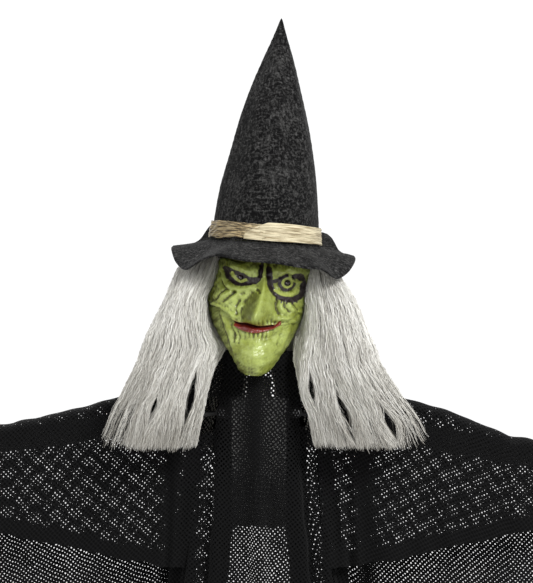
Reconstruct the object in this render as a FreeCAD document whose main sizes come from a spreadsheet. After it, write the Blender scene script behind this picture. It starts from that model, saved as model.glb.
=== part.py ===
"""Hanging animated witch figure: talking jaw, turning head, posable arms, felt hat, fibre hair and gauze robe.

Frame: millimetres, origin at the centre of the hanging eye behind the neck, +X to the figure's left arm as seen
from the front, +Y towards the wall that it hangs on, +Z up. Head parts are drawn in the head's own frame, whose
origin is on the neck axis, and are then placed with the head's small tilt.
"""

import FreeCAD, Part

import math
import os
import re

import Sketcher

V = FreeCAD.Vector
ROTATION = FreeCAD.Rotation
X_AXIS, Y_AXIS, Z_AXIS = V(1, 0, 0), V(0, 1, 0), V(0, 0, 1)
SIDES = {"left": -1, "right": 1}

# Driving dimensions, in millimetres and degrees. "left" and "right" are as seen from the front.
DIMENSIONS = {
    # hanging eye
    "eye_radius": 5, "tab_thick": 3, "tab_width": 24, "tab_rise": 12,
    # mechanism case
    "wall": 2, "case_width": 54, "case_front": 58, "case_back": 1.5, "case_top": 8, "case_bottom": 134,
    "seam": 19, "boss_radius": 3.5, "boss_across": 42, "boss_high": 46, "boss_low": 129,
    "screw_radius": 1.2, "screw_head": 2.8, "head_thick": 1.6, "case_screw_long": 26, "door_screw_long": 11,
    "door_screw_drop": 57.5, "grip_deep": 0.8,
    # neck
    "neck_back": 30, "shaft_radius": 6, "shaft_bore": 3, "shaft_low": 31.5, "shaft_high": 76, "slack": 0.05,
    "bush_radius": 9, "bush_flange": 10.5, "cable_radius": 1.2,
    # gears
    "coarse_module": 1, "fine_module": 0.6, "pinion_teeth": 10, "wheel_teeth": 24, "sector_teeth": 32,
    "jaw_teeth": 60, "gear_pin": 1, "plate_top": 27.5, "plate_thick": 2,
    # motors
    "motor_radius": 10, "motor_flat": 15.4, "motor_long": 25,
    # batteries and sound
    "cell_radius": 7.1, "cell_long": 48.5, "cell_pitch": 15.2, "cell_low": 117, "tray_top": 62, "tray_low": 124,
    "tray_depth": 17.5, "tray_width": 47, "door_width": 46, "door_top": 53, "door_low": 123,
    "door_gap": 0.3, "speaker_radius": 18, "speaker_drop": 98, "board_width": 40, "board_high": 54,
    # switch and test button
    "knob_wide": 4, "knob_deep": 3, "button_radius": 3.5, "button_out": 12,
    "control_back": 38,
    # arms
    "shoulder_out": 37, "shoulder_drop": 22, "shoulder_back": 38, "droop_left": 7.4, "droop_right": 10.6,
    "knuckle_radius": 6, "knuckle_long": 16.8, "shoulder_pin": 2, "wire_radius": 2.5, "wire_long": 372,
    "padding_radius": 12, "padding_from": 30, "padding_to": 345, "palm_thick": 16, "finger_root": 7,
    "finger_tip": 2.4,
    # head
    "head_rise": 30, "head_roll": 4.3, "head_yaw": -3, "head_wide": 47, "head_deep": 58, "head_skin": 2.5,
    "jaw_back": -10, "jaw_height": 56, "jaw_slope": 0.3125, "jaw_gap": 0.6, "cheek_out": 30, "cheek_thick": 3,
    "ear_in": 31, "ear_out": 34, "jaw_pin": 2, "lamp_radius": 2.5, "lamp_long": 9,
    # hat
    "hat_radius": 55, "hat_foot": 117, "hat_tip": 343, "felt": 2.5, "brim_radius": 93,
    "band_low": 119, "band_high": 136, "band_thick": 1.6,
    # hair and robe
    "hair_top": 112, "hair_lean": 5, "hair_tip": 58, "cloth": 2, "collar_high": 38,
    "hem_low": 640, "sleeve_to": 392,
    "sleeve_half": 17, "sleeve_front": 150, "sleeve_rear": 330,
}

doc = FreeCAD.newDocument("witch_figure")
sheet = doc.addObject("Spreadsheet::Sheet", "Sizes")
for row, (alias, value) in enumerate(DIMENSIONS.items(), 1):
    sheet.set(f"A{row}", alias)
    sheet.set(f"B{row}", str(value))
    sheet.setAlias(f"B{row}", alias)
doc.recompute()

PARTS = {}


def size(alias):
    """The sheet's value of one dimension."""
    return float(sheet.get(alias))


def bound(text):
    """An expression written with plain dimension names, as the sheet's own names."""
    return re.sub(r"\b([a-z]+_[a-z_]+|[a-z]{4,})\b", r"Sizes.\1", str(text))


def value_of(text):
    """The number that an expression of dimension names gives, worked out by the document itself."""
    probe.setExpression("Length", bound(f"1000 + ({text})"))
    probe.recompute()
    return probe.Length.Value - 1000


probe = doc.addObject("Part::Box", "probe")


def bind(thing, **properties):
    """Binds properties of a document object to the sheet. Two underscores stand for a dot."""
    for name, text in properties.items():
        thing.setExpression(name.replace("__", "."), bound(text))
    return thing


def placed(thing, where, turn=None):
    """Puts a primitive at three bound coordinates, after an optional turn (axis, degrees)."""
    if turn is not None:
        thing.Placement = FreeCAD.Placement(V(), ROTATION(*turn))
    x, y, z = where
    return bind(thing, Placement__Base__x=x, Placement__Base__y=y, Placement__Base__z=z)


def box(name, low, high):
    """A Part::Box from its lowest to its highest corner, each three expressions."""
    thing = doc.addObject("Part::Box", name)
    spans = [f"({b}) - ({a})" for a, b in zip(low, high)]
    bind(thing, Length=spans[0], Width=spans[1], Height=spans[2])
    return placed(thing, low)


TURNS = {"x": (Y_AXIS, 90), "y": (X_AXIS, -90), "z": None}


def rod(name, radius, length, start, along="z"):
    """A Part::Cylinder that starts at a point and runs along +X, +Y or +Z."""
    thing = doc.addObject("Part::Cylinder", name)
    bind(thing, Radius=radius, Height=length)
    return placed(thing, start, TURNS[along])


def cone(name, radius_start, radius_end, length, start, along="z"):
    """A Part::Cone that starts at a point and runs along +X, +Y or +Z."""
    thing = doc.addObject("Part::Cone", name)
    bind(thing, Radius1=radius_start, Radius2=radius_end, Height=length)
    return placed(thing, start, TURNS[along])


def fuse(name, *shapes):
    thing = doc.addObject("Part::MultiFuse", name)
    thing.Shapes = list(shapes)
    return thing


def cut(name, base, *tools):
    thing = doc.addObject("Part::Cut", name)
    thing.Base = base
    thing.Tool = tools[0] if len(tools) == 1 else fuse(name + "_tools", *tools)
    return thing


def common(name, one, other):
    thing = doc.addObject("Part::Common", name)
    thing.Base, thing.Tool = one, other
    return thing


def solid(name, shape):
    """A Part::Feature for a shape that neither a body nor a primitive suits."""
    thing = doc.addObject("Part::Feature", name)
    thing.Shape = shape
    return thing


def keep(label, thing, placement=None):
    """Makes a document object a sub-part, with its own Label and Placement."""
    thing.Label = label
    if placement is not None:
        thing.Placement = placement.multiply(thing.Placement)
    PARTS[label] = thing
    return thing


def sketch(body, plane_role, name, corners):
    """A closed outline of straight edges whose corners are bound to the sheet."""
    drawing = body.newObject("Sketcher::SketchObject", name)
    plane = next(f for f in body.Origin.OriginFeatures if f.Role == plane_role)
    drawing.AttachmentSupport = (plane, "")
    drawing.MapMode = "FlatFace"
    points = [(value_of(a), value_of(b)) for a, b in corners]
    count = len(points)
    for i, (a, b) in enumerate(points):
        c, d = points[(i + 1) % count]
        drawing.addGeometry(Part.LineSegment(V(a, b, 0), V(c, d, 0)), False)
    for i in range(count):
        drawing.addConstraint(Sketcher.Constraint("Coincident", i, 2, (i + 1) % count, 1))
    for i, corner in enumerate(corners):
        for kind, axis, coordinate, text in (
            ("DistanceX", -2, points[i][0], corner[0]),
            ("DistanceY", -1, points[i][1], corner[1]),
        ):
            if abs(coordinate) < 1e-9:
                drawing.addConstraint(Sketcher.Constraint("PointOnObject", i, 1, axis))
                continue
            where = drawing.addConstraint(Sketcher.Constraint(kind, -1, 1, i, 1, coordinate))
            drawing.setExpression(f"Constraints[{where}]", bound(text))
    return drawing


def turned(name, corners):
    """A PartDesign body turned about its own Z axis from an outline of (radius, height) corners."""
    body = doc.addObject("PartDesign::Body", name)
    outline = sketch(body, "XZ_Plane", name + "_outline", corners)
    turn = body.newObject("PartDesign::Revolution", name + "_turn")
    turn.Profile = outline
    turn.ReferenceAxis = (outline, ["V_Axis"])
    turn.Angle = 360
    body.Tip = turn
    return body


def padded(name, corners, thickness, plane_role="XY_Plane"):
    """A PartDesign body padded from an outline."""
    body = doc.addObject("PartDesign::Body", name)
    outline = sketch(body, plane_role, name + "_outline", corners)
    pad = body.newObject("PartDesign::Pad", name + "_pad")
    pad.Profile = outline
    bind(pad, Length=thickness)
    body.Tip = pad
    return body


def rectangle(x0, y0, x1, y1):
    return [(x0, y0), (x1, y0), (x1, y1), (x0, y1)]


def at(x, y, z, turn=None):
    return FreeCAD.Placement(V(x, y, z), ROTATION(*turn) if turn else ROTATION())


# ---------------------------------------------------------------- gears


def involute(base_radius, radius):
    """The angle that an involute has turned through at a radius, in radians."""
    roll = math.sqrt(max((radius / base_radius) ** 2 - 1, 0))
    return roll - math.atan(roll)


def gear_face(module, teeth, phase, backlash=0.16):
    """A stub-tooth gear outline with one tooth centred at phase degrees."""
    pressure = math.radians(25)
    pitch = module * teeth / 2
    base = pitch * math.cos(pressure)
    tip, root = pitch + 0.75 * module, pitch - 1.1 * module
    half = math.pi / (2 * teeth) - backlash / (2 * pitch) + involute(base, pitch)
    low = max(base, root)
    steps = [low, (low + pitch) / 2, pitch, (pitch + tip) / 2, tip]
    flank = [(r, half - involute(base, r)) for r in steps]
    if root < low:
        flank.insert(0, (root, flank[0][1]))
    points = []
    for i in range(teeth):
        middle = math.radians(phase) + 2 * math.pi * i / teeth
        for r, a in flank:
            points.append(V(r * math.cos(middle - a), r * math.sin(middle - a), 0))
        for r, a in reversed(flank):
            points.append(V(r * math.cos(middle + a), r * math.sin(middle + a), 0))
    return Part.Face(Part.makePolygon(points + points[:1]))


def wheel(module, teeth, phase, low, high):
    """A gear between two heights about the Z axis."""
    face = gear_face(module, teeth, phase)
    face.translate(V(0, 0, low))
    return face.extrude(V(0, 0, high - low))


def disc(radius, low, high):
    return Part.makeCylinder(radius, high - low, V(0, 0, low))


def sector(module, teeth, phase, half_angle, low, high):
    """The part of a gear within half_angle of its phase."""
    reach = module * teeth
    spread = [math.radians(phase + half_angle * s) for s in (-1, -0.5, 0, 0.5, 1)]
    corners = [V()] + [V(reach * math.cos(a), reach * math.sin(a), 0) for a in spread] + [V()]
    wedge = Part.Face(Part.makePolygon(corners))
    wedge.translate(V(0, 0, low))
    return wheel(module, teeth, phase, low, high).common(wedge.extrude(V(0, 0, high - low)))


def polar(distance, degrees):
    return V(distance * math.cos(math.radians(degrees)), distance * math.sin(math.radians(degrees)), 0)


COARSE, FINE = size("coarse_module"), size("fine_module")
PINION, WHEEL = int(size("pinion_teeth")), int(size("wheel_teeth"))
SECTOR, JAW_TEETH = int(size("sector_teeth")), int(size("jaw_teeth"))
NECK = V(0, -size("neck_back"), 0)
MESH_SECTOR, MESH_IDLERS, MESH_MOTOR = 225, 0, 0
LATE_IDLER = NECK + polar(COARSE * (SECTOR + PINION) / 2, MESH_SECTOR)
FIRST_IDLER = LATE_IDLER + polar(FINE * (WHEEL + PINION) / 2, MESH_IDLERS)
TURN_MOTOR = FIRST_IDLER + polar(FINE * (WHEEL + PINION) / 2, MESH_MOTOR)


def facing(degrees, teeth):
    """The phase that puts a gap towards a mating tooth that points along degrees."""
    return degrees + 180 + 180 / teeth


# ---------------------------------------------------------------- mechanism case


def case_parts():
    half, top, low = "case_width / 2", "-case_top", "-case_bottom"
    shell = cut(
        "front_shell_walls",
        box("front_block", (f"-{half}", "-case_front", low), (half, "-seam", top)),
        box("front_hollow", (f"-{half} + wall", "-case_front + wall", f"{low} + wall"),
            (f"{half} - wall", "-seam + 1", f"{top} - wall")),
    )
    bosses = []
    holes = [rod("bush_hole", "bush_radius", "wall + 2", ("0", "-neck_back", f"{top} - wall - 1"))]
    for x_name, x in (("a", "-boss_across / 2"), ("b", "boss_across / 2")):
        for z_name, z in (("high", "-boss_high"), ("low", "-boss_low")):
            name = f"boss_{x_name}_{z_name}"
            bosses.append(rod(name, "boss_radius", "case_front - wall - seam - 0.5",
                              (x, "-case_front + wall", z), "y"))
            holes.append(rod(name + "_hole", "screw_radius", "30", (x, "-seam - 24", z), "y"))
    for i in range(-3, 4):
        half_long = "11" if abs(i) == 3 else "15"
        z = f"-speaker_drop + {4.4 * i:.1f}"
        holes.append(box(f"grille_{i + 3}", (f"-{half_long}", "-case_front - 1", f"{z} - 1"),
                         (half_long, "-case_front + wall + 1", f"{z} + 1")))
    holes.append(rod("sound_hole", "1.5", "wall + 2", ("16", "-case_front - 1", "-67"), "y"))
    holes.append(box("switch_slot", ("-14.2", "-control_back - 1.7", f"{low} - 1"),
                     ("-3.8", "-control_back + 1.7", f"{low} + wall + 1")))
    holes.append(rod("button_hole", "button_radius + 0.2", "wall + 2",
                     ("button_out", "-control_back", f"{low} - 1")))
    keep("front_shell", cut("front_shell", fuse("front_shell_body", shell, *bosses), *holes))

    rear_low, rear_high = f"{low}", f"{top}"
    outer = box("rear_block", (f"-{half}", "-seam", rear_low), (half, "case_back", rear_high))
    hollow = box("rear_hollow", (f"-{half} + wall", "-seam - 1", f"{rear_low} + wall"),
                 (f"{half} - wall", "case_back - wall", f"{rear_high} - wall"))
    cover = cut("rear_cover_walls", outer, hollow)
    tray = cut(
        "battery_tray",
        box("tray_block", (f"-{half} + wall", "-seam", "-tray_low - 1.5"),
            (f"{half} - wall", "case_back - wall", "-tray_top + 1.5")),
        box("tray_hollow", ("-tray_width / 2", "-tray_depth", "-tray_low"),
            ("tray_width / 2", "case_back + 1", "-tray_top")),
    )
    tab = box("hanger_tab", ("-tab_width / 2", "-tab_thick / 2", f"{top} - wall"),
              ("tab_width / 2", "tab_thick / 2", "tab_rise"))
    post = rod("door_post", "boss_radius", "12", ("0", "case_back - wall - 12", "-door_screw_drop"), "y")
    openings = [
        rod("hanging_eye", "eye_radius", "tab_thick + 2", ("0", "-tab_thick / 2 - 1", "0"), "y"),
        box("door_opening", ("-door_width / 2 - door_gap", "case_back - wall", "-door_low - door_gap"),
            ("door_width / 2 + door_gap", "case_back + 1", "-door_top + door_gap")),
        box("battery_hollow", ("-tray_width / 2", "-tray_depth", "-tray_low"),
            ("tray_width / 2", "case_back + 1", "-tray_top")),
        rod("door_post_hole", "screw_radius", "14", ("0", "case_back - wall - 11", "-door_screw_drop"), "y"),
    ]
    for x_name, x in (("a", "-boss_across / 2"), ("b", "boss_across / 2")):
        for z_name, z in (("high", "-boss_high"), ("low", "-boss_low")):
            openings.append(rod(f"cover_hole_{x_name}_{z_name}", "screw_radius", "30",
                                (x, "-seam - 1", z), "y"))
    keep("rear_cover", cut("rear_cover", fuse("rear_cover_body", cover, tray, tab, post), *openings))

    screws = []
    for x_name, x in (("a", "-boss_across / 2"), ("b", "boss_across / 2")):
        for z_name, z in (("high", "-boss_high"), ("low", "-boss_low")):
            screws.append(slotted_screw(f"screw_{x_name}_{z_name}", x, z, "case_screw_long"))
    keep("case_screws", compound("case_screws", screws))


def compound(name, members):
    """A group of identical separate solids, as one sub-part."""
    thing = doc.addObject("Part::Compound", name)
    thing.Links = members
    return thing


def door_parts():
    panel = rectangle("-door_width / 2", "-door_low", "door_width / 2", "-door_top")
    door = padded("battery_door_panel", panel, "wall", "XZ_Plane")
    grip = body_pocket(door, "door_grip", rectangle("-9", "-door_low + 5", "9", "-door_low + 9"), "grip_deep")
    grip.Reversed = True
    door.Placement = at(0, size("case_back"), 0)
    hole = rod("door_screw_hole", "screw_radius + 0.2", "wall + 2",
               ("0", "case_back - wall - 1", "-door_screw_drop"), "y")
    keep("battery_door", cut("battery_door_drilled", door, hole))
    keep("door_screw", slotted_screw("door_screw", "0", "-door_screw_drop", "door_screw_long"))


def slotted_screw(name, x, z, length):
    """A screw driven into the back of the case, with a slotted head."""
    blank = fuse(name + "_blank",
                 rod(name + "_shank", "screw_radius", length, (x, f"case_back - ({length})", z), "y"),
                 rod(name + "_head", "screw_head", "head_thick", (x, "case_back", z), "y"))
    slot = box(name + "_slot", (f"{x} - 2", "case_back + head_thick / 2", f"{z} - 0.35"),
               (f"{x} + 2", "case_back + head_thick + 1", f"{z} + 0.35"))
    return cut(name, blank, slot)


def body_pocket(body, name, corners, depth):
    """A pocket in a body, sketched on its XZ plane."""
    outline = sketch(body, "XZ_Plane", name + "_outline", corners)
    pocket = body.newObject("PartDesign::Pocket", name)
    pocket.Profile = outline
    bind(pocket, Length=depth)
    body.Tip = pocket
    return pocket


def neck_parts():
    top = size("case_top")
    bush = turned("neck_bush", [
        ("shaft_radius + slack", "-3.5"), ("bush_radius", "-3.5"), ("bush_radius", "0"), ("bush_flange", "0"),
        ("bush_flange", "2"), ("shaft_radius + slack", "2"),
    ])
    keep("neck_bush", bush, at(0, -size("neck_back"), -top))
    shaft = turned("neck_shaft", [
        ("shaft_bore", "-shaft_low"), ("shaft_radius", "-shaft_low"), ("shaft_radius", "shaft_high"),
        ("shaft_bore", "shaft_high"),
    ])
    keep("neck_shaft", shaft, at(0, -size("neck_back"), 0))
    keep("neck_cable", rod("neck_cable", "cable_radius", "62 + 66", ("0", "-neck_back", "-66")))


def turn_gear_parts():
    """The head's motor, gear plate and gear train."""
    plate = padded("gear_plate_blank", rectangle("-case_width / 2 + wall", "-case_front + wall",
                                           "case_width / 2 - wall", "-seam - 0.5"), "plate_thick")
    holes = [rod("plate_neck_hole", "shaft_radius + slack", "4", ("0", "-neck_back", "-plate_top - 3"))]
    plate.Placement = at(0, 0, -size("plate_top") - size("plate_thick"))
    pins = []
    for name, centre, top in (("late", LATE_IDLER, "11.2"), ("first", FIRST_IDLER, "17.3")):
        start = (f"{centre.x:.4f}", f"{centre.y:.4f}", "-plate_top - plate_thick")
        pins.append(rod(name + "_pin", "gear_pin", f"plate_top + plate_thick - {top}", start))
        holes.append(rod(name + "_pin_hole", "gear_pin", "4", (start[0], start[1], "-plate_top - 3")))
    motor = (f"{TURN_MOTOR.x:.4f}", f"{TURN_MOTOR.y:.4f}")
    holes.append(rod("motor_shaft_hole", "1.6", "4", (motor[0], motor[1], "-plate_top - 3")))
    keep("gear_plate", cut("gear_plate", plate, *holes))
    keep("gear_pins", compound("gear_pins", pins))

    face = "-plate_top - plate_thick"
    can = common(
        "turn_motor_can",
        rod("turn_motor_round", "motor_radius", "motor_long", (motor[0], motor[1], f"{face} - motor_long")),
        box("turn_motor_flats", (f"{motor[0]} - 11", f"{motor[1]} - motor_flat / 2", f"{face} - motor_long"),
            (f"{motor[0]} + 11", f"{motor[1]} + motor_flat / 2", face)),
    )
    bore = rod("turn_motor_bore", "1.05", "4.5", (motor[0], motor[1], f"{face} - 4.5"))
    keep("turn_motor", cut("turn_motor", can, bore))

    bore = size("gear_pin") + size("slack")
    late = wheel(COARSE, PINION, facing(MESH_SECTOR, PINION), -17, -11.8)
    late = late.fuse([wheel(FINE, WHEEL, MESH_IDLERS, -21, -18), disc(3.2, -18, -17)])
    late = late.cut(disc(bore, -30, 0)).removeSplitter()
    keep("late_idler_gear", solid("late_idler_gear", late), at(LATE_IDLER.x, LATE_IDLER.y, 0))
    first = wheel(FINE, PINION, facing(MESH_IDLERS, PINION), -22.5, -17.5)
    first = first.fuse(wheel(FINE, WHEEL, MESH_MOTOR, -25.5, -22.5)).cut(disc(bore, -30, 0)).removeSplitter()
    keep("first_idler_gear", solid("first_idler_gear", first), at(FIRST_IDLER.x, FIRST_IDLER.y, 0))
    pinion = wheel(FINE, PINION, facing(MESH_MOTOR, PINION), -26.8, -22)
    pinion = pinion.fuse(disc(1, -33.5, -26)).removeSplitter()
    keep("turn_motor_pinion", solid("turn_motor_pinion", pinion), at(TURN_MOTOR.x, TURN_MOTOR.y, 0))

    teeth = sector(COARSE, SECTOR, MESH_SECTOR, 52, -16, -12)
    hub = disc(8.6, -17, -12)
    shape = hub.fuse(teeth).cut(disc(size("shaft_radius"), -30, 0)).removeSplitter()
    keep("turn_sector_gear", solid("turn_sector_gear", shape), at(NECK.x, NECK.y, 0))


def sound_parts():
    """Batteries, their contacts, the sound board, speaker, microphone, switch and test button."""
    cells = []
    contacts = []
    for i, name in ((-1, "a"), (0, "b"), (1, "c")):
        x, y = f"{i} * cell_pitch", "-cell_radius - 1.2"
        can = rod("cell_can_" + name, "cell_radius", "cell_long", (x, y, "-cell_low"))
        tip = rod("cell_tip_" + name, "2.7", "1.5", (x, y, "-cell_low + cell_long"))
        cells.append(fuse("cell_" + name, can, tip))
        coil = cone("contact_spring_" + name, "5", "2.4", "tray_low - cell_low - 0.9",
                    (x, y, "-tray_low + 0.5"))
        foot = box("contact_foot_" + name, (f"{x} - 6", "-tray_depth + 3", "-tray_low"),
                   (f"{x} + 6", "-3", "-tray_low + 0.6"))
        contacts.append(fuse("contact_" + name, coil, foot))
        contacts.append(box("contact_plate_" + name, (f"{x} - 6", "-tray_depth + 3", "-tray_top - 0.6"),
                            (f"{x} + 6", "-3", "-tray_top")))
    keep("battery_cells", compound("battery_cells", cells))
    keep("battery_contacts", compound("battery_contacts", contacts))

    board = box("board_plate", ("-board_width / 2", "-25", "-66 - board_high"),
                ("board_width / 2", "-23.4", "-66"))
    details = [box("board_chip", ("-6", "-27", "-84"), ("6", "-25", "-74")),
               box("board_driver", ("8", "-26.6", "-96"), ("15", "-25", "-90")),
               rod("board_capacitor", "3", "9", ("-12", "-34", "-76"), "y"),
               rod("board_coil", "2.6", "6", ("12", "-31", "-108"), "y")]
    keep("sound_board", fuse("sound_board", board, *details))

    centre = at(0, -size("case_front") + size("wall"), -size("speaker_drop"), (X_AXIS, -90))
    frame = turned("speaker_frame", [
        ("0", "6"), ("7.5", "6"), ("15.5", "1.5"), ("15.5", "0"), ("speaker_radius", "0"),
        ("speaker_radius", "2"), ("16.5", "2.5"), ("9.5", "8"), ("9.5", "14"), ("0", "14"),
    ])
    keep("speaker_frame", frame, centre)
    diaphragm = turned("speaker_cone", [
        ("0", "4.6"), ("5", "5.2"), ("13.5", "0.7"), ("15.3", "0.7"), ("15.3", "1.2"), ("13.8", "1.2"),
        ("5.4", "5.8"), ("0", "5.6"),
    ])
    keep("speaker_cone", diaphragm, centre)
    keep("microphone", rod("microphone", "3", "6", ("16", "-case_front + wall", "-67"), "y"))

    floor = "-case_bottom + wall"
    switch = cut(
        "switch_body",
        box("switch_block", ("-17", "-control_back - 4", floor), ("0", "-control_back + 4", f"{floor} + 6")),
        box("switch_track", ("-14.2", "-control_back - 1.7", f"{floor} - 1"),
            ("-3.8", "-control_back + 1.7", f"{floor} + 3")),
    )
    keep("switch_body", switch)
    knob = padded("switch_knob", rectangle("0", "-knob_deep / 2", "knob_wide", "knob_deep / 2"), "8")
    keep("switch_knob", knob, at(-14, -size("control_back"), -size("case_bottom") - 3))
    keep("button_switch", box("button_switch", ("button_out - 5", "-control_back - 5", "-125.2"),
                              ("button_out + 5", "-control_back + 5", "-120")))
    button = turned("test_button", [
        ("0", "-5"), ("button_radius - 0.6", "-5"), ("button_radius", "-4.4"), ("button_radius", "0.1"),
        ("button_radius + 1.5", "0.1"), ("button_radius + 1.5", "1.4"), ("2", "1.4"), ("2", "5"), ("0", "5"),
    ])
    keep("test_button", button,
         at(size("button_out"), -size("control_back"), -size("case_bottom") + size("wall")))


# ---------------------------------------------------------------- arms


def arm_parts(side):
    """One arm: its bracket and pin on the case, then wire, padding and hand, drooping from the pivot."""
    sign = SIDES[side]
    mirror = at(0, 0, 0, (Z_AXIS, 180)) if sign < 0 else at(0, 0, 0)
    pivot_z, pivot_y = "-shoulder_drop", "-shoulder_back"
    back = f"{sign} * shoulder_back"
    bracket = fuse(
        "bracket_body_" + side,
        box("bracket_foot_" + side, ("case_width / 2", f"-({back}) - 12", f"{pivot_z} - 13"),
            ("case_width / 2 + 3", f"-({back}) + 12", f"{pivot_z} + 13")),
        *[fuse(f"bracket_ear_{k}_{side}",
               box(f"bracket_arm_{k}_{side}", ("case_width / 2", f"-({back}) + {y}", f"{pivot_z} - 6"),
                   ("shoulder_out", f"-({back}) + {y + 3}", f"{pivot_z} + 6")),
               rod(f"bracket_round_{k}_{side}", "6", "3", ("shoulder_out", f"-({back}) + {y}", pivot_z), "y"))
          for k, y in enumerate((-11.5, 8.5))],
    )
    hole = rod("bracket_hole_" + side, "shoulder_pin", "30", ("shoulder_out", f"-({back}) - 15", pivot_z), "y")
    keep("shoulder_bracket_" + side, cut("shoulder_bracket_" + side, bracket, hole), mirror)
    pin = turned("shoulder_pin_" + side, [
        ("0", "0"), ("shoulder_pin", "0"), ("shoulder_pin", "26"),
        ("3.5", "26"), ("3.5", "27.5"), ("0", "27.5"),
    ])
    keep("shoulder_pin_" + side, pin,
         at(sign * size("shoulder_out"), -size("shoulder_back") + 14, -size("shoulder_drop"), (X_AXIS, 90)))

    droop = size("droop_" + side)
    root = at(sign * size("shoulder_out"), -size("shoulder_back"), -size("shoulder_drop"),
              (Y_AXIS, sign * droop)).multiply(mirror)
    knuckle = rod("arm_knuckle_" + side, "knuckle_radius", "knuckle_long", ("0", "-knuckle_long / 2", "0"), "y")
    core = rod("arm_core_" + side, "wire_radius", "wire_long", ("0", "0", "0"), "x")
    wire = fuse("arm_wire_body_" + side, knuckle, core)
    bore = rod("arm_bore_" + side, "shoulder_pin + slack", "knuckle_long + 2",
               ("0", "-knuckle_long / 2 - 1", "0"), "y")
    keep("arm_wire_" + side, cut("arm_wire_" + side, wire, bore), root)
    padding = turned("arm_padding_" + side, [
        ("wire_radius", "padding_from"), ("padding_radius - 2", "padding_from"),
        ("padding_radius", "padding_from + 4"), ("padding_radius", "padding_to"), ("wire_radius", "padding_to"),
    ])
    keep("arm_padding_" + side, padding, root.multiply(at(0, 0, 0, (Y_AXIS, 90))))
    keep("hand_" + side, hand(side), root.multiply(at(size("padding_to"), 0, 0)))


# angle, distance of the root from the wrist and length of each finger, thumb last
FINGERS = ((26, 60, 62), (9, 68, 78), (-8, 68, 76), (-25, 62, 62), (68, 34, 52))
PALM = ((8, -9), (30, -19), (58, -24), (76, -15), (80, 0), (76, 16), (58, 24), (30, 19), (8, 9))


def hand(side):
    """A vinyl hand along +X, palm towards the front, with fingers that fan out and lean forwards."""
    front = -SIDES[side]
    cuff = cone("hand_cuff_" + side, "padding_radius", "10", "30", ("0", "0", "0"), "x")
    outline = [(str(x), str(z)) for x, z in PALM]
    palm = padded("hand_palm_" + side, outline, "palm_thick", "XZ_Plane")
    palm.Placement = at(0, size("palm_thick") / 2, 0)
    fingers = []
    for i, (angle, start, length) in enumerate(FINGERS):
        finger = doc.addObject("Part::Cone", f"finger_{i}_{side}")
        bind(finger, Radius1="finger_root", Radius2="finger_tip")
        finger.Height = length
        direction = ROTATION(Z_AXIS, -front * 8).multVec(ROTATION(Y_AXIS, 90 - angle).multVec(Z_AXIS))
        reach = V(math.cos(math.radians(angle)), 0, math.sin(math.radians(angle)))
        foot = V(18 + (start - 18) * 0.62, 0, 0) + reach * (start - 18) * 0.38
        finger.Placement = FreeCAD.Placement(foot, ROTATION(Z_AXIS, direction))
        fingers.append(finger)
    body = fuse("hand_body_" + side, cuff, palm, *fingers)
    socket = rod("hand_socket_" + side, "wire_radius", "28", ("-1", "0", "0"), "x")
    return cut("hand_" + side, body, socket)


# ---------------------------------------------------------------- head

HEAD = FreeCAD.Placement(
    V(0, -size("neck_back"), size("head_rise")),
    ROTATION(Z_AXIS, size("head_yaw")).multiply(ROTATION(Y_AXIS, size("head_roll"))),
)
# height, half width, middle and half depth of the head, from the chin up, as shares of its half width and depth
HEAD_SECTIONS = (
    (-14, 0.22, -1.07, 0.20), (-6, 0.46, -0.88, 0.44), (14, 0.64, -0.66, 0.66), (34, 0.80, -0.40, 0.87),
    (56, 0.92, -0.19, 0.99), (80, 1.00, -0.09, 1.02), (104, 1.00, -0.04, 0.89), (128, 0.86, 0.0, 0.74),
    (147, 0.50, 0.0, 0.48), (153, 0.16, 0.0, 0.16),
)


def oval(half_wide, half_deep, centre):
    """An ellipse wire, level, with its long side along X or Y as needed."""
    if half_wide >= half_deep:
        curve = Part.Ellipse(centre, half_wide, half_deep)
        return Part.Wire(curve.toShape())
    curve = Part.Ellipse(V(), half_deep, half_wide)
    wire = Part.Wire(curve.toShape())
    wire.rotate(V(), Z_AXIS, 90)
    wire.translate(centre)
    return wire


def head_envelope(skin=0.0):
    """The head's outside, or its inside if skin is the wall."""
    wide, deep = size("head_wide"), size("head_deep")
    wires = []
    for z, a, middle, b in HEAD_SECTIONS:
        lift = skin if z < 0 else (-skin if z > 140 else 0)
        centre = V(0, middle * deep, z + lift)
        wires.append(oval(max(a * wide - skin, 2), max(b * deep - skin, 2.2), centre))
    return Part.makeLoft(wires, True)


def slab(low, high):
    """A plain block between two corners, for trimming organic shapes."""
    return Part.makeBox(high[0] - low[0], high[1] - low[1], high[2] - low[2], V(*low))


def prism(corners, low, high):
    """A solid with an outline in the YZ plane, between two values of X."""
    points = [V(low, y, z) for y, z in corners]
    return Part.Face(Part.makePolygon(points + points[:1])).extrude(V(high - low, 0, 0))


def mouth_line(y):
    """The height of the slanted joint between the face and the jaw."""
    return size("jaw_height") + size("jaw_slope") * (y - size("jaw_back"))


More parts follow.
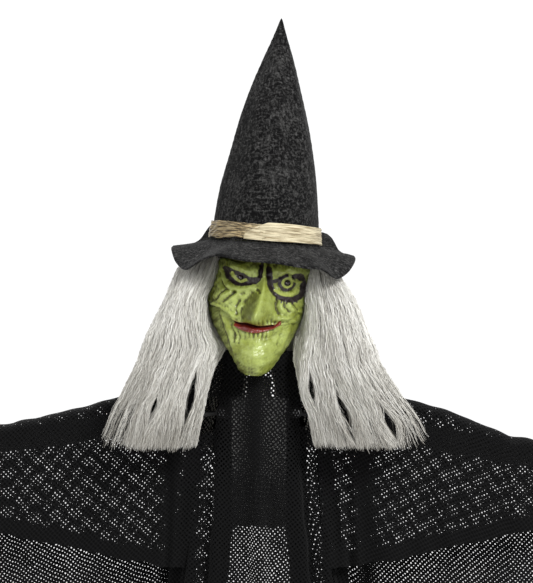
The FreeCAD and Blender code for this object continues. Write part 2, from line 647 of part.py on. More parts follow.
def head_parts():
    skin, split = size("head_skin"), size("jaw_back") - 2
    shell = head_envelope().cut(head_envelope(skin))
    gap = size("jaw_gap")
    far = 120
    upper = prism([(split, mouth_line(split)), (-far, mouth_line(-far)), (-far, 200), (split, 200)], -60, 60)
    face = shell.common(upper)
    eyes = [Part.makeCylinder(size("lamp_radius"), 40, V(x, -80, z), Y_AXIS) for x, z, _ in EYES]
    keep("face_mask", solid("face_mask", face.cut(eyes)), HEAD)
    rear = shell.common(slab((-60, split + 0.1, -40), (60, 90, 200)))
    neck_hole = Part.makeCylinder(15, 60, V(0, 0, -20))
    keep("rear_skull", solid("rear_skull", rear.cut(neck_hole)), HEAD)

    low_back = [(split - 2, mouth_line(split - 2) - gap), (-far, mouth_line(-far) - gap), (-far, -40),
                (split - 18, -40)]
    keep("jaw", solid("jaw", shell.common(prism(low_back, -60, 60))), HEAD)
    pivot = (size("jaw_back"), size("jaw_height"))
    ear_outline = [(pivot[0] + 4, pivot[1] - 4), (pivot[0] - 4, pivot[1] - 9), (-32, 24), (-54, 16), (-54, 39),
                   (-18, 52)]
    trim = head_envelope(skin)
    arms = []
    for sign in (-1, 1):
        low, high = sorted((sign * size("ear_in"), sign * size("ear_out")))
        arms.append(prism(ear_outline, low, high).common(trim))
        arms.append(Part.makeCylinder(6, high - low, V(low, *pivot), X_AXIS))
    rim = sector(FINE, JAW_TEETH, JAW_MESH + 90, 27, 0, size("ear_out") - size("ear_in"))
    rim = rim.cut(Part.makeCylinder(5, 10, V(0, 0, -1)))
    rim.rotate(V(), Y_AXIS, 90)
    rim.translate(V(-size("ear_out"), *pivot))
    bore = Part.makeCylinder(size("jaw_pin") + size("slack"), 80, V(-40, *pivot), X_AXIS)
    carrier = rim.fuse(arms).cut(bore)
    keep("jaw_arms", solid("jaw_arms", carrier.removeSplitter()), HEAD)


# across, height and base of each eye lamp
EYES = ((-21, 81, -51), (25, 79, -47.6))
JAW_MESH, JAW_MOTOR_MESH = 60, 60


def beside(point, distance, degrees):
    """A point in the YZ plane at a distance and angle from another."""
    angle = math.radians(degrees)
    return (point[0] + distance * math.cos(angle), point[1] + distance * math.sin(angle))


def across(shape, x, point):
    """Turns a part built up Z to run along +X and puts it at a point of the YZ plane."""
    shape.rotate(V(), Y_AXIS, 90)
    shape.translate(V(x, *point))
    return shape


def head_works():
    """The frame inside the head, the jaw's motor and gears, its pins and the eye lamps."""
    pivot = (size("jaw_back"), size("jaw_height"))
    idler = beside(pivot, FINE * (JAW_TEETH + PINION) / 2, JAW_MESH)
    motor = beside(idler, FINE * (WHEEL + PINION) / 2, JAW_MOTOR_MESH)
    out, thick = size("cheek_out"), size("cheek_thick")
    upright = HEAD.Rotation.inverted()
    parts = [slab((-out, -22, 40), (out, 24, 43))]
    cheek = [(pivot[0] - 10, 40), (24, 40), (24, 92), (-4, 92), (pivot[0] - 10, 62)]
    parts.append(prism(cheek, -out, -out + thick))
    parts.append(prism([(pivot[0] - 10, 40), (6, 40), (6, 64), (pivot[0] - 10, 64)], out - thick, out))
    socket = Part.makeCylinder(10, 17, V(0, 0, 25))
    socket.rotate(V(), upright.Axis, math.degrees(upright.Angle))
    frame = parts[0].fuse(parts[1:] + [socket])
    shaft = Part.makeCylinder(size("shaft_radius"), 80, V(0, 0, -30))
    shaft.rotate(V(), upright.Axis, math.degrees(upright.Angle))
    bores = [shaft, Part.makeCylinder(size("jaw_pin"), 90, V(-45, *pivot), X_AXIS),
             Part.makeCylinder(size("gear_pin"), 10, V(-out - 1, *idler), X_AXIS),
             Part.makeCylinder(1.6, 10, V(-out - 1, *motor), X_AXIS)]
    frame = frame.cut(bores).common(head_envelope(size("head_skin") + 0.2))
    keep("head_frame", solid("head_frame", frame.removeSplitter()), HEAD)

    pins = [rod(f"jaw_pin_{k}", "jaw_pin", "ear_out - cheek_out + cheek_thick + 1",
                (start, "jaw_back", "jaw_height"), "x")
            for k, start in (("left", "-ear_out - 1"), ("right", "cheek_out - cheek_thick"))]
    keep("jaw_pins", compound("jaw_pins", pins), HEAD)
    pin = rod("jaw_gear_pin", "gear_pin", "12", (f"-{out + 9}", f"{idler[0]:.4f}", f"{idler[1]:.4f}"), "x")
    keep("jaw_gear_pin", pin, HEAD)

    bore = size("gear_pin") + size("slack")
    double = wheel(FINE, PINION, facing(JAW_MESH + 90, PINION), -34.5, -30.5)
    double = double.fuse(wheel(FINE, WHEEL, JAW_MOTOR_MESH + 90, -38, -34.5)).cut(disc(bore, -50, 0))
    keep("jaw_idler_gear", solid("jaw_idler_gear", across(double.removeSplitter(), 0, idler)), HEAD)
    pinion = wheel(FINE, PINION, facing(JAW_MOTOR_MESH + 90, PINION), -38, -34.6).fuse(disc(1, -35, -23.5))
    keep("jaw_motor_pinion", solid("jaw_motor_pinion", across(pinion.removeSplitter(), 0, motor)), HEAD)
    can = Part.makeCylinder(size("motor_radius"), size("motor_long"), V(-out + thick, *motor), X_AXIS)
    half = size("motor_flat") / 2
    can = can.common(slab((-40, motor[0] - half, 0), (40, motor[0] + half, 200)))
    can = can.cut(Part.makeCylinder(1.05, 4.5, V(-out + thick, *motor), X_AXIS))
    keep("jaw_motor", solid("jaw_motor", can), HEAD)
    for side, (x, z, back) in zip(SIDES, EYES):
        lamp = turned("eye_lamp_" + side, [
            ("0", "0"), ("lamp_radius + 0.5", "0"), ("lamp_radius + 0.5", "1.2"),
            ("lamp_radius - 0.1", "1.2"), ("lamp_radius - 0.1", "lamp_long - 2"),
            ("lamp_radius - 1", "lamp_long - 0.5"), ("0", "lamp_long"),
        ])
        keep("eye_lamp_" + side, lamp, HEAD.multiply(at(x, back, z, (X_AXIS, 90))))


# ---------------------------------------------------------------- hat

# the cone's outside from its foot to its tip, as shares of the foot's radius and of the rise
HAT_PROFILE = ((1, 0), (0.964, 0.075), (0.867, 0.261), (0.727, 0.429), (0.576, 0.58), (0.353, 0.757),
               (0.098, 0.938), (0, 1))


# angle from the front towards the left arm and height of the brim's edge under the foot of the cone
BRIM_WAVE = ((0, 18.5), (12, 19), (29, 20.5), (41, 20), (54, 28), (66, 22), (78, 13), (92, 7), (111, 5),
             (129, 2), (143, -11), (165, -13), (180, -12), (200, -13), (213, -11), (226, 3), (248, 7),
             (262, 9), (282, 14), (296, 24), (309, 31), (322, 22), (334, 15.3), (345, 16.5))


def wavy_brim():
    """A ring of felt from the foot of the cone to a wavy edge, low in front and turned up behind."""
    felt, foot, inner, outer = size("felt"), size("hat_foot"), size("hat_radius") + 0.05, size("brim_radius")

    def ring(radius, drop, share):
        ways = [math.radians(a) for a, _ in BRIM_WAVE]
        points = [V(radius * math.sin(way), -radius * math.cos(way), foot - edge_drop * share - drop)
                  for way, (_, edge_drop) in zip(ways, BRIM_WAVE)]
        curve = Part.BSplineCurve()
        curve.interpolate(Points=points, PeriodicFlag=True, Parameters=[a / 360 for a, _ in BRIM_WAVE] + [1.0])
        return curve.toShape()

    rings = [ring(inner, 0, 0), ring(outer, 0, 1), ring(outer, felt, 1), ring(inner, felt, 0)]
    faces = [Part.makeRuledSurface(rings[i], rings[(i + 1) % 4]) for i in range(4)]
    ring_solid = Part.Solid(Part.Shell(faces))
    if ring_solid.Volume < 0:
        ring_solid.reverse()
    return ring_solid


def hat_parts():
    """The cone of the hat swells a little; the brim slopes down from its foot and the band lies round it."""
    axis = at(-3, -2, 0)
    outside = [(f"hat_radius * {r}", f"hat_foot + (hat_tip - hat_foot) * {z}") for r, z in HAT_PROFILE]
    inside = [(f"{r} - felt", z) for r, z in outside[:-2]]
    top = [("0", "hat_tip"), ("0", "hat_foot + (hat_tip - hat_foot) * 0.86")]
    cone_body = turned("hat_cone", outside[:-1] + top + inside[::-1])
    keep("hat_cone", cone_body, HEAD.multiply(axis))

    keep("hat_brim", solid("hat_brim", wavy_brim()), HEAD.multiply(axis))
    band = turned("hat_band", [
        ("hat_radius + 0.35", "band_low"), ("hat_radius + 0.35 + band_thick", "band_low"),
        ("hat_radius + 0.35 + band_thick - 2", "band_high"), ("hat_radius - 1.6", "band_high"),
    ])
    keep("hat_band", band, HEAD.multiply(axis))


# ---------------------------------------------------------------- hair and robe


def patch(z, *corners):
    """A level four-sided wire, for lofting locks of hair."""
    points = [V(x, y, z) for x, y in corners]
    return Part.makePolygon(points + points[:1])


def hair_parts():
    """Four locks: one down each side of the face, and one each side of the hanging eye behind."""
    tip = -size("hair_tip")
    for side, sign in SIDES.items():
        top = size("hair_top") - sign * size("hair_lean")
        front = [
            patch(top, (sign * 53, -72), (sign * 68, -72), (sign * 78, -14), (sign * 60, -14)),
            patch(80, (sign * 56, -92), (sign * 92, -84), (sign * 98, -20), (sign * 56, -20)),
            patch(20, (sign * 56, -101), (sign * 130, -96), (sign * 130, -72), (sign * 56, -74)),
            patch(tip, (sign * 56, -104), (sign * 170, -100), (sign * 170, -82), (sign * 56, -84)),
        ]
        keep("hair_" + side, solid("hair_" + side, Part.makeLoft(front, True, True)))
        back = [
            patch(top, (sign * 8, 34), (sign * 60, 2), (sign * 66, 14), (sign * 8, 44)),
            patch(60, (sign * 14, 40), (sign * 66, 12), (sign * 76, 26), (sign * 14, 56)),
            patch(tip, (sign * 20, 38), (sign * 84, 30), (sign * 88, 46), (sign * 20, 54)),
        ]
        keep("hair_back_" + side, solid("hair_back_" + side, Part.makeLoft(back, True, True)))


# half width, half depth and height of the robe round the neck axis, between its collar and its hem
ROBE_SECTIONS = ((54, 44, 0), (66, 42, -30), (70, 44, -75), (84, 50, -190), (112, 58, -350))
COLLAR_OVAL, HEM_OVAL = (50, 42), (150, 70)


def robe_envelope(inset):
    sections = [(*COLLAR_OVAL, size("collar_high")), *ROBE_SECTIONS, (*HEM_OVAL, -size("hem_low"))]
    wires = [oval(wide - inset, deep - inset, V(0, -size("neck_back"), z)) for wide, deep, z in sections]
    return Part.makeLoft(wires, True)


def robe_parts():
    """The body of the robe hangs from the collar, open behind; each sleeve is a long trough over the arm."""
    neck, cloth, high = -size("neck_back"), size("cloth"), size("collar_high")
    shell = robe_envelope(0).cut(robe_envelope(cloth))
    ends = [slab((-200, -200, high - 0.5), (200, 200, high + 20)),
            slab((-200, -200, -size("hem_low") - 20), (200, 200, -size("hem_low") + 0.5))]
    back_slit = slab((-34, neck, -size("hem_low") - 20), (34, 120, high + 20))
    chin_room = prism([(-140, 4), (neck - 34, 4), (neck - 2, high + 1), (neck - 2, 80), (-140, 80)], -80, 80)
    armholes = [slab((40, -66, -78), (120, -10, 8)), slab((-120, -66, -78), (-40, -10, 8))]
    keep("robe_body", solid("robe_body", shell.cut(ends + [back_slit, chin_room] + armholes)))
    for side in SIDES:
        sleeve_part(side)


def sleeve_part(side):
    """A sleeve as two hanging sheets joined over the arm, the rear one longer, from the collar to the wrist."""
    sign, cloth, half = SIDES[side], size("cloth"), size("sleeve_half")
    slope = math.tan(math.radians(size("droop_" + side)))
    last, middle = size("sleeve_to"), -size("shoulder_back")

    def line(x):
        return -size("shoulder_drop") - slope * (x - size("shoulder_out")) + size("padding_radius") + 3

    top = [(62, 18), (92, 10), (139, -4), (174, max(-23, line(174))), (210, line(210)), (last, line(last))]
    first = top[0][0]

    def sheet_solid(corners, low_y, high_y):
        points = [V(sign * x, low_y, z) for x, z in corners]
        return Part.Face(Part.makePolygon(points + points[:1])).extrude(V(0, high_y - low_y, 0))

    def hanging(drop):
        return top + [(last - 6, line(last) - drop + 20), (first + 12 + drop * 0.19, line(first) - drop),
                      (first + 24, -90), (first + 2, -40)]

    roof = top + [(x, z - cloth) for x, z in reversed(top)]
    front = sheet_solid(hanging(size("sleeve_front")), middle - half, middle - half + cloth)
    rear = sheet_solid(hanging(size("sleeve_rear")), middle + half - cloth, middle + half)
    sleeve = front.fuse([rear, sheet_solid(roof, middle - half, middle + half)]).removeSplitter()
    keep("sleeve_" + side, solid("sleeve_" + side, sleeve))


# ---------------------------------------------------------------- build and write


def check_and_write():
    doc.recompute()
    bad = [o.Name for o in doc.Objects if {"Invalid", "Error"} & set(o.State)]
    if bad:
        raise RuntimeError(f"failed objects: {bad}")
    os.makedirs("parts", exist_ok=True)
    for old in os.listdir("parts"):
        os.remove(os.path.join("parts", old))
    for label, thing in PARTS.items():
        shape = thing.Shape
        if thing.Label != label or shape.isNull() or not shape.isValid() or not shape.Solids:
            raise RuntimeError(f"{label} has no valid shape under its own name")
        shape.exportStep(os.path.join("parts", label + ".step"))
    print(len(PARTS), "parts written")


case_parts()
door_parts()
neck_parts()
turn_gear_parts()
sound_parts()
for name in SIDES:
    arm_parts(name)
head_parts()
head_works()
hat_parts()
hair_parts()
robe_parts()
doc.removeObject("probe")
check_and_write()
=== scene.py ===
"""A hanging, animated witch figure: its face, hat, hair, robe and hands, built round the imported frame."""
import contextlib
import math

import bmesh
import bpy
import numpy as np
from mathutils import Matrix, Vector


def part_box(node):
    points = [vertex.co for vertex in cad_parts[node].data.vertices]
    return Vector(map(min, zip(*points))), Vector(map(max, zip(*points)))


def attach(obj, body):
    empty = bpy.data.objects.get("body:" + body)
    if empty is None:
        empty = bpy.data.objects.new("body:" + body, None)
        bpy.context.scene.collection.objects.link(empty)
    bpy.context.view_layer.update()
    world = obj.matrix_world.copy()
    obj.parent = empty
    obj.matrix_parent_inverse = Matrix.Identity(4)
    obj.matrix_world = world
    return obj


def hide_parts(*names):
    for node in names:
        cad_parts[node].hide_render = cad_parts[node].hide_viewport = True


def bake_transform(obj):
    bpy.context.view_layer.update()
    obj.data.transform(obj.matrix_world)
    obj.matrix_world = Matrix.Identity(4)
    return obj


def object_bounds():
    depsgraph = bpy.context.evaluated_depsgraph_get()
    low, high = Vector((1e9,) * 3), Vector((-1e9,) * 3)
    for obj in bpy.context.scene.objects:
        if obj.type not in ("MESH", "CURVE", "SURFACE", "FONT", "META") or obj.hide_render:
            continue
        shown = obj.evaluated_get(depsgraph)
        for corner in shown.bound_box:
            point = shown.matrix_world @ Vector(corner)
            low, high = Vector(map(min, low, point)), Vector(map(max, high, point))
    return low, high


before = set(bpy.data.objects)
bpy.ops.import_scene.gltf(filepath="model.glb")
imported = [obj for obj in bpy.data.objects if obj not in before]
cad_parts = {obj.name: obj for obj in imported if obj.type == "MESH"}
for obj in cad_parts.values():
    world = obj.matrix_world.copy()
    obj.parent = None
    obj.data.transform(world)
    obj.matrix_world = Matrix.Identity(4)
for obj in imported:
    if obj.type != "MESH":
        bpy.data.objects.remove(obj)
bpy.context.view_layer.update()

# Sizes are in millimetres and degrees until a mesh is made. Left and right are as seen from the front.
MM = 0.001
SIDES = {"left": -1, "right": 1}


def turn(degrees, axis):
    return Matrix.Rotation(math.radians(degrees), 4, axis)


# how far the neck is behind the frame's origin, and the head's own place: on the neck, turned and leaning
NECK_BACK = 30
HEAD = Matrix.Translation((0, -NECK_BACK * MM, 30 * MM)) @ turn(-3, "Z") @ turn(4.3, "Y")


# ---------------------------------------------------------------- lines, grids and meshes


def smooth(points, count=240):
    """Points evenly spread in parameter along a smooth line through the given ones."""
    p = np.asarray(points, float)
    p = np.vstack([2 * p[0] - p[1], p, 2 * p[-1] - p[-2]])
    t = np.linspace(0, len(p) - 3, count)
    i = np.minimum(t.astype(int), len(p) - 4)
    f = (t - i)[:, None]
    a, b, c, d = p[i], p[i + 1], p[i + 2], p[i + 3]
    return 0.5 * (2 * b + (c - a) * f + (2 * a - 5 * b + 4 * c - d) * f**2 + (3 * b - a - 3 * c + d) * f**3)


def read(table, x, column=1):
    """The value at x in one column of a table whose first column rises."""
    line = smooth(table)
    return np.interp(x, line[:, 0], line[:, column])


def distance(x, z, points):
    """How far each place lies from a smooth line through the points."""
    line = smooth(points, 10 * len(points))
    nearest = np.full(np.shape(x), 1e9)
    for (ax, az), (bx, bz) in zip(line[:-1], line[1:]):
        dx, dz = bx - ax, bz - az
        t = np.clip(((x - ax) * dx + (z - az) * dz) / (dx * dx + dz * dz + 1e-9), 0, 1)
        nearest = np.minimum(nearest, np.hypot(x - ax - t * dx, z - az - t * dz))
    return nearest


def hump(d, radius):
    return np.exp(-((d / radius) ** 2))


def edge(d, half, soft=0.5):
    """1 inside the half width, 0 outside, with a soft step between."""
    return np.clip((half - d) / soft + 0.5, 0, 1)


def ramp(value, start, finish):
    """0 at the start and 1 at the finish, straight in between."""
    return np.clip((value - start) / (finish - start), 0, 1)


def highest(*fields):
    return np.maximum.reduce(np.broadcast_arrays(*fields))


def ripple(seed, wavelength, *coordinates):
    """Smooth noise of about that wavelength, mostly from -1 to 1, over one to three coordinates."""
    chance = np.random.default_rng(seed)
    waves, total = 9, 0
    for _ in range(waves):
        way = chance.normal(size=len(coordinates))
        way /= np.linalg.norm(way)
        stretch = chance.uniform(0.6, 1.5)
        phase = sum(w * c for w, c in zip(way, coordinates)) * (2 * math.pi * stretch / wavelength)
        total = total + np.cos(phase + chance.uniform(0, 2 * math.pi))
    return total / (waves / 2)


def grid_faces(rows, columns, closed=False):
    i, j = np.meshgrid(np.arange(rows - 1), np.arange(columns - (not closed)), indexing="ij")
    k = (j + 1) % columns
    quads = np.stack([i * columns + j, i * columns + k, (i + 1) * columns + k, (i + 1) * columns + j], -1)
    return quads.reshape(-1, 4).tolist()


def linked(name, data):
    thing = bpy.data.objects.new(name, data)
    bpy.context.scene.collection.objects.link(thing)
    return thing


def mesh_object(name, points, faces, place=None):
    """A smooth mesh from points in millimetres, put in place."""
    mesh = bpy.data.meshes.new(name)
    mesh.from_pydata((np.asarray(points).reshape(-1, 3) * MM).tolist(), [], faces)
    if place is not None:
        mesh.transform(place)
    mesh.shade_smooth()
    return linked(name, mesh)


@contextlib.contextmanager
def reworked(thing):
    """The object's mesh as a bmesh, written back afterwards."""
    work = bmesh.new()
    work.from_mesh(thing.data)
    yield work
    work.to_mesh(thing.data)
    work.free()


def cut_out(thing, inside):
    """Deletes the faces whose middles lie inside."""
    with reworked(thing) as work:
        doomed = [f for f in work.faces if inside(f.calc_center_median())]
        bmesh.ops.delete(work, geom=doomed, context="FACES")


def mark(thing, name, values):
    """One number for each point, which the materials read."""
    layer = thing.data.attributes.new(name, "FLOAT", "POINT")
    layer.data.foreach_set("value", np.asarray(values, np.float32).ravel())


def lay_cloth(thing, across, along):
    """Cloth coordinates in metres, which the weave follows, as a UV map."""
    corner = np.zeros(len(thing.data.loops), int)
    thing.data.loops.foreach_get("vertex_index", corner)
    flat = np.stack([np.ravel(across), np.ravel(along)], -1)[corner] * MM
    thing.data.uv_layers.new(name="cloth").data.foreach_set("uv", flat.ravel())


def applied(thing):
    """Replaces the object's mesh by the one that its modifiers give."""
    shown = thing.evaluated_get(bpy.context.evaluated_depsgraph_get())
    mesh = bpy.data.meshes.new_from_object(shown)
    thing.modifiers.clear()
    thing.data = mesh
    mesh.shade_smooth()
    return thing


# ---------------------------------------------------------------- materials


class Paint:
    """A procedural material, built node by node."""

    def __init__(self, name, **inputs):
        self.material = bpy.data.materials.new(name)
        self.material.use_nodes = True
        self.tree = self.material.node_tree
        self.shader = self.tree.nodes["Principled BSDF"]
        self.set(**inputs)

    def link(self, socket, value):
        if isinstance(value, bpy.types.NodeSocket):
            self.tree.links.new(value, socket)
        elif socket.type == "RGBA" and len(value) == 3:
            socket.default_value = (*value, 1)
        else:
            socket.default_value = value

    def set(self, **inputs):
        for name, value in inputs.items():
            self.link(self.shader.inputs[name.replace("_", " ")], value)

    def node(self, kind, inputs, out=0, **settings):
        made = self.tree.nodes.new("ShaderNode" + kind)
        for name, value in settings.items():
            setattr(made, name, value)
        for name, value in inputs.items():
            self.link(made.inputs[name], value)
        return made.outputs[out]

    def place(self):
        """Where a point is on its own body, in metres."""
        return self.node("TexCoord", {}, "Object")

    def value(self, name):
        return self.node("Attribute", {}, "Fac", attribute_name=name)

    def stretched(self, vector, scale):
        return self.node("Mapping", {"Vector": vector, "Scale": scale})

    def noise(self, vector, scale, detail=3.0, rough=0.55, distortion=0.0):
        return self.node("TexNoise", {"Vector": vector, "Scale": scale, "Detail": detail, "Roughness": rough,
                                      "Distortion": distortion})

    def math(self, operation, a, b=0.0, c=0.0):
        return self.node("Math", {0: a, 1: b, 2: c}, operation=operation)

    def step(self, value, low, high, to_low=0.0, to_high=1.0):
        return self.node("MapRange", {0: value, 1: low, 2: high, 3: to_low, 4: to_high})

    def mix(self, share, a, b, blend="MIX"):
        return self.node("Mix", {0: share, 6: a, 7: b}, 2, data_type="RGBA", blend_type=blend)

    def bump(self, height, depth, strength=1.0):
        """A normal from a height of 0 to 1 that stands for that depth in millimetres."""
        return self.node("Bump", {"Height": height, "Distance": depth * MM, "Strength": strength})


def grained(name, dark, light, rough, scale=900, grain=0.05, metal=0.0, coat=0.0, stretch=(1, 1, 1), **more):
    """Two tones in large soft patches, a fine surface grain, and gloss that varies with both."""
    paint = Paint(name, Metallic=metal, Coat_Weight=coat, **more)
    place = paint.place()
    patches = paint.noise(place, 38, 5)
    grain_height = paint.noise(paint.stretched(place, stretch), scale, 2)
    tone = paint.math("MULTIPLY_ADD", grain_height, 0.35, patches)
    paint.set(
        Base_Color=paint.mix(paint.step(tone, 0.42, 0.92), dark, light),
        Roughness=paint.step(tone, 0.4, 0.95, rough * 0.8, min(1.0, rough * 1.2)),
        Normal=paint.bump(grain_height, grain),
    )
    return paint.material


def vinyl(name, deep, middle, pale_and_highlight):
    """Painted soft vinyl, glossy, with ink and lip paint and random mottling, painted shade in its folds and
    hollows and painted highlights on what stands out.
    """
    paint = Paint(name, Coat_Weight=0.35, Coat_Roughness=0.16, Subsurface_Weight=0.0)
    place = paint.place()
    crease = paint.value("crease")
    clouds = paint.noise(place, 70, 4)
    skin = paint.mix(paint.step(clouds, 0.35, 0.65), middle, pale_and_highlight)
    skin = paint.mix(paint.step(paint.noise(place, 260, 3), 0.5, 0.72, 0, 0.35), skin, deep)
    # painted shade: the deep colour where the painted shade value is high, in folds, hollows and on sides
    # turned from the light
    skin = paint.mix(paint.step(crease, 0.15, 1.0), skin, deep)
    # painted highlight: the pale colour where that value falls below zero, on ridges and lit bumps
    skin = paint.mix(paint.step(crease, -0.1, -0.9, 0, 0.55), skin, pale_and_highlight)
    lip = paint.mix(paint.noise(place, 500, 2), (0.08, 0.006, 0.004), (0.30, 0.026, 0.014))
    skin = paint.mix(paint.value("lip"), skin, lip)
    skin = paint.mix(paint.value("iris"), skin, (0.40, 0.46, 0.09))
    ink = paint.value("ink")
    black = paint.mix(paint.noise(place, 420, 2), (0.004, 0.002, 0.003), (0.030, 0.014, 0.016))
    pores = paint.noise(place, 1500, 2)
    height = paint.math("MULTIPLY_ADD", paint.noise(place, 420, 2), 1.4, pores)
    paint.set(
        Base_Color=paint.mix(ink, skin, black),
        Roughness=paint.step(paint.math("MULTIPLY_ADD", crease, 0.5, clouds), 0.3, 1.1, 0.34, 0.62),
        Normal=paint.bump(height, 0.22),
    )
    return paint.material


def felt(name):
    """Pressed black felt with paler fibres lying every way in it."""
    paint = Paint(name, Roughness=0.95, Sheen_Weight=0.04, Sheen_Roughness=0.6, Specular_IOR_Level=0.1)
    place = paint.place()
    clouds = paint.noise(place, 30, 4)
    heights, tone = paint.noise(place, 420, 5, 0.7), paint.math("MULTIPLY", clouds, 0.7)
    for scale in ((1, 1, 0.35), (0.35, 1, 1), (1, 1, 1)):
        fibres = paint.noise(paint.stretched(place, scale), 430, 4, 0.65, 0.6)
        tone = paint.math("MULTIPLY_ADD", paint.step(fibres, 0.50, 0.72), 0.60, tone)
    colour = paint.mix(paint.step(tone, 0.42, 1.35), (0.0015, 0.0015, 0.0016), (0.085, 0.084, 0.082))
    paint.set(Base_Color=colour, Normal=paint.bump(heights, 0.6))
    return paint.material


def raffia(name):
    """A flat dried leaf: fine lengthwise fibres, cream in general, and darker brown with near-black streaks
    where it is marked, which holds both its own staining and painted shade.
    """
    paint = Paint(name, Roughness=0.62, Sheen_Weight=0.1)
    place = paint.place()
    leaf = paint.node("CombineXYZ", {0: paint.value("along"), 1: paint.value("up")})
    fibres = paint.noise(leaf, 1.0, 5, 0.6, 0.3)
    fine = paint.noise(paint.stretched(place, (0.12, 0.12, 1)), 1600, 3)
    pale = paint.mix(paint.step(fibres, 0.38, 0.56), (0.30, 0.22, 0.10), (0.80, 0.72, 0.50))
    stain = paint.mix(paint.step(fibres, 0.44, 0.57), (0.018, 0.009, 0.003), (0.52, 0.40, 0.21))
    colour = paint.mix(paint.value("stain"), pale, stain)
    paint.set(Base_Color=colour, Normal=paint.bump(paint.math("ADD", fibres, fine), 0.35))
    return paint.material


def fibre(name):
    """Crimped synthetic hair with its tone set strand by strand, which carries painted shade at the roots and
    on the inner strands.
    """
    paint = Paint(name, Roughness=0.5, Specular_IOR_Level=0.35, Sheen_Weight=0.15)
    tone = paint.value("tone")
    speckle = paint.noise(paint.place(), 900, 2)
    shade = paint.math("MULTIPLY_ADD", speckle, 0.30, tone)
    colour = paint.mix(paint.step(shade, 0.1, 0.75), (0.22, 0.20, 0.165), (0.64, 0.625, 0.575))
    paint.set(Base_Color=paint.mix(paint.step(shade, 0.75, 1.25), colour, (0.95, 0.94, 0.90)))
    return paint.material


def gauze(name):
    """Open black mesh: a slanted net of small uneven holes, closed where the cloth is doubled."""
    pitch, slant, widest = 3.35 * MM, math.radians(52), 0.37
    paint = Paint(name, Roughness=0.9, Sheen_Weight=0.03, Specular_IOR_Level=0.08)
    flat = paint.node("UVMap", {}, uv_map="cloth")
    sway = paint.node("TexNoise", {"Vector": flat, "Scale": 230.0, "Detail": 1.0}, "Color")
    sway = paint.node("VectorMath", {0: sway, 1: (0.5, 0.5, 0.5)}, operation="SUBTRACT")
    sway = paint.node("VectorMath", {0: sway, 3: 1.5 * MM}, operation="SCALE")
    bent = paint.node("VectorMath", {0: flat, 1: sway}, operation="ADD")
    cells = paint.node("Mapping", {"Vector": bent, "Rotation": (0, 0, slant),
                                   "Scale": (1 / pitch, 1 / pitch, 0)})
    inside = paint.node("VectorMath", {0: cells}, operation="FRACTION")
    centred = paint.node("VectorMath", {0: inside, 1: (0.5, 0.5, 0)}, operation="SUBTRACT")
    reach = paint.node("VectorMath", {0: centred}, "Value", operation="LENGTH")
    size = paint.step(paint.noise(flat, 330, 1), 0.3, 0.7, 0.085, 0.215)
    patches = paint.step(paint.noise(flat, 22, 2), 0.3, 0.7, 0.8, 1.15)
    closed = paint.math("SUBTRACT", 1.0, paint.value("dense"))
    for factor in (patches, closed, paint.math("ADD", 1.0, paint.value("open"))):
        size = paint.math("MULTIPLY", size, factor)
    size = paint.math("MINIMUM", size, widest)
    paint.set(Alpha=paint.math("GREATER_THAN", reach, size))
    threads = paint.math("MULTIPLY_ADD", paint.noise(flat, 1500, 2), 0.5, paint.step(reach, 0.2, 0.6))
    colour = paint.mix(paint.step(threads, 0.2, 1.4), (0.0015, 0.0015, 0.0016), (0.0085, 0.0085, 0.0088))
    paint.set(Base_Color=colour, Normal=paint.bump(threads, 0.5))
    return paint.material


def lens(name):
    """A dark glossy plastic lens over a small lamp."""
    paint = Paint(name, Roughness=0.06, Coat_Weight=1.0, Coat_Roughness=0.03)
    cloud = paint.noise(paint.place(), 600, 2)
    paint.set(Base_Color=paint.mix(cloud, (0.004, 0.002, 0.002), (0.03, 0.006, 0.005)))
    return paint.material


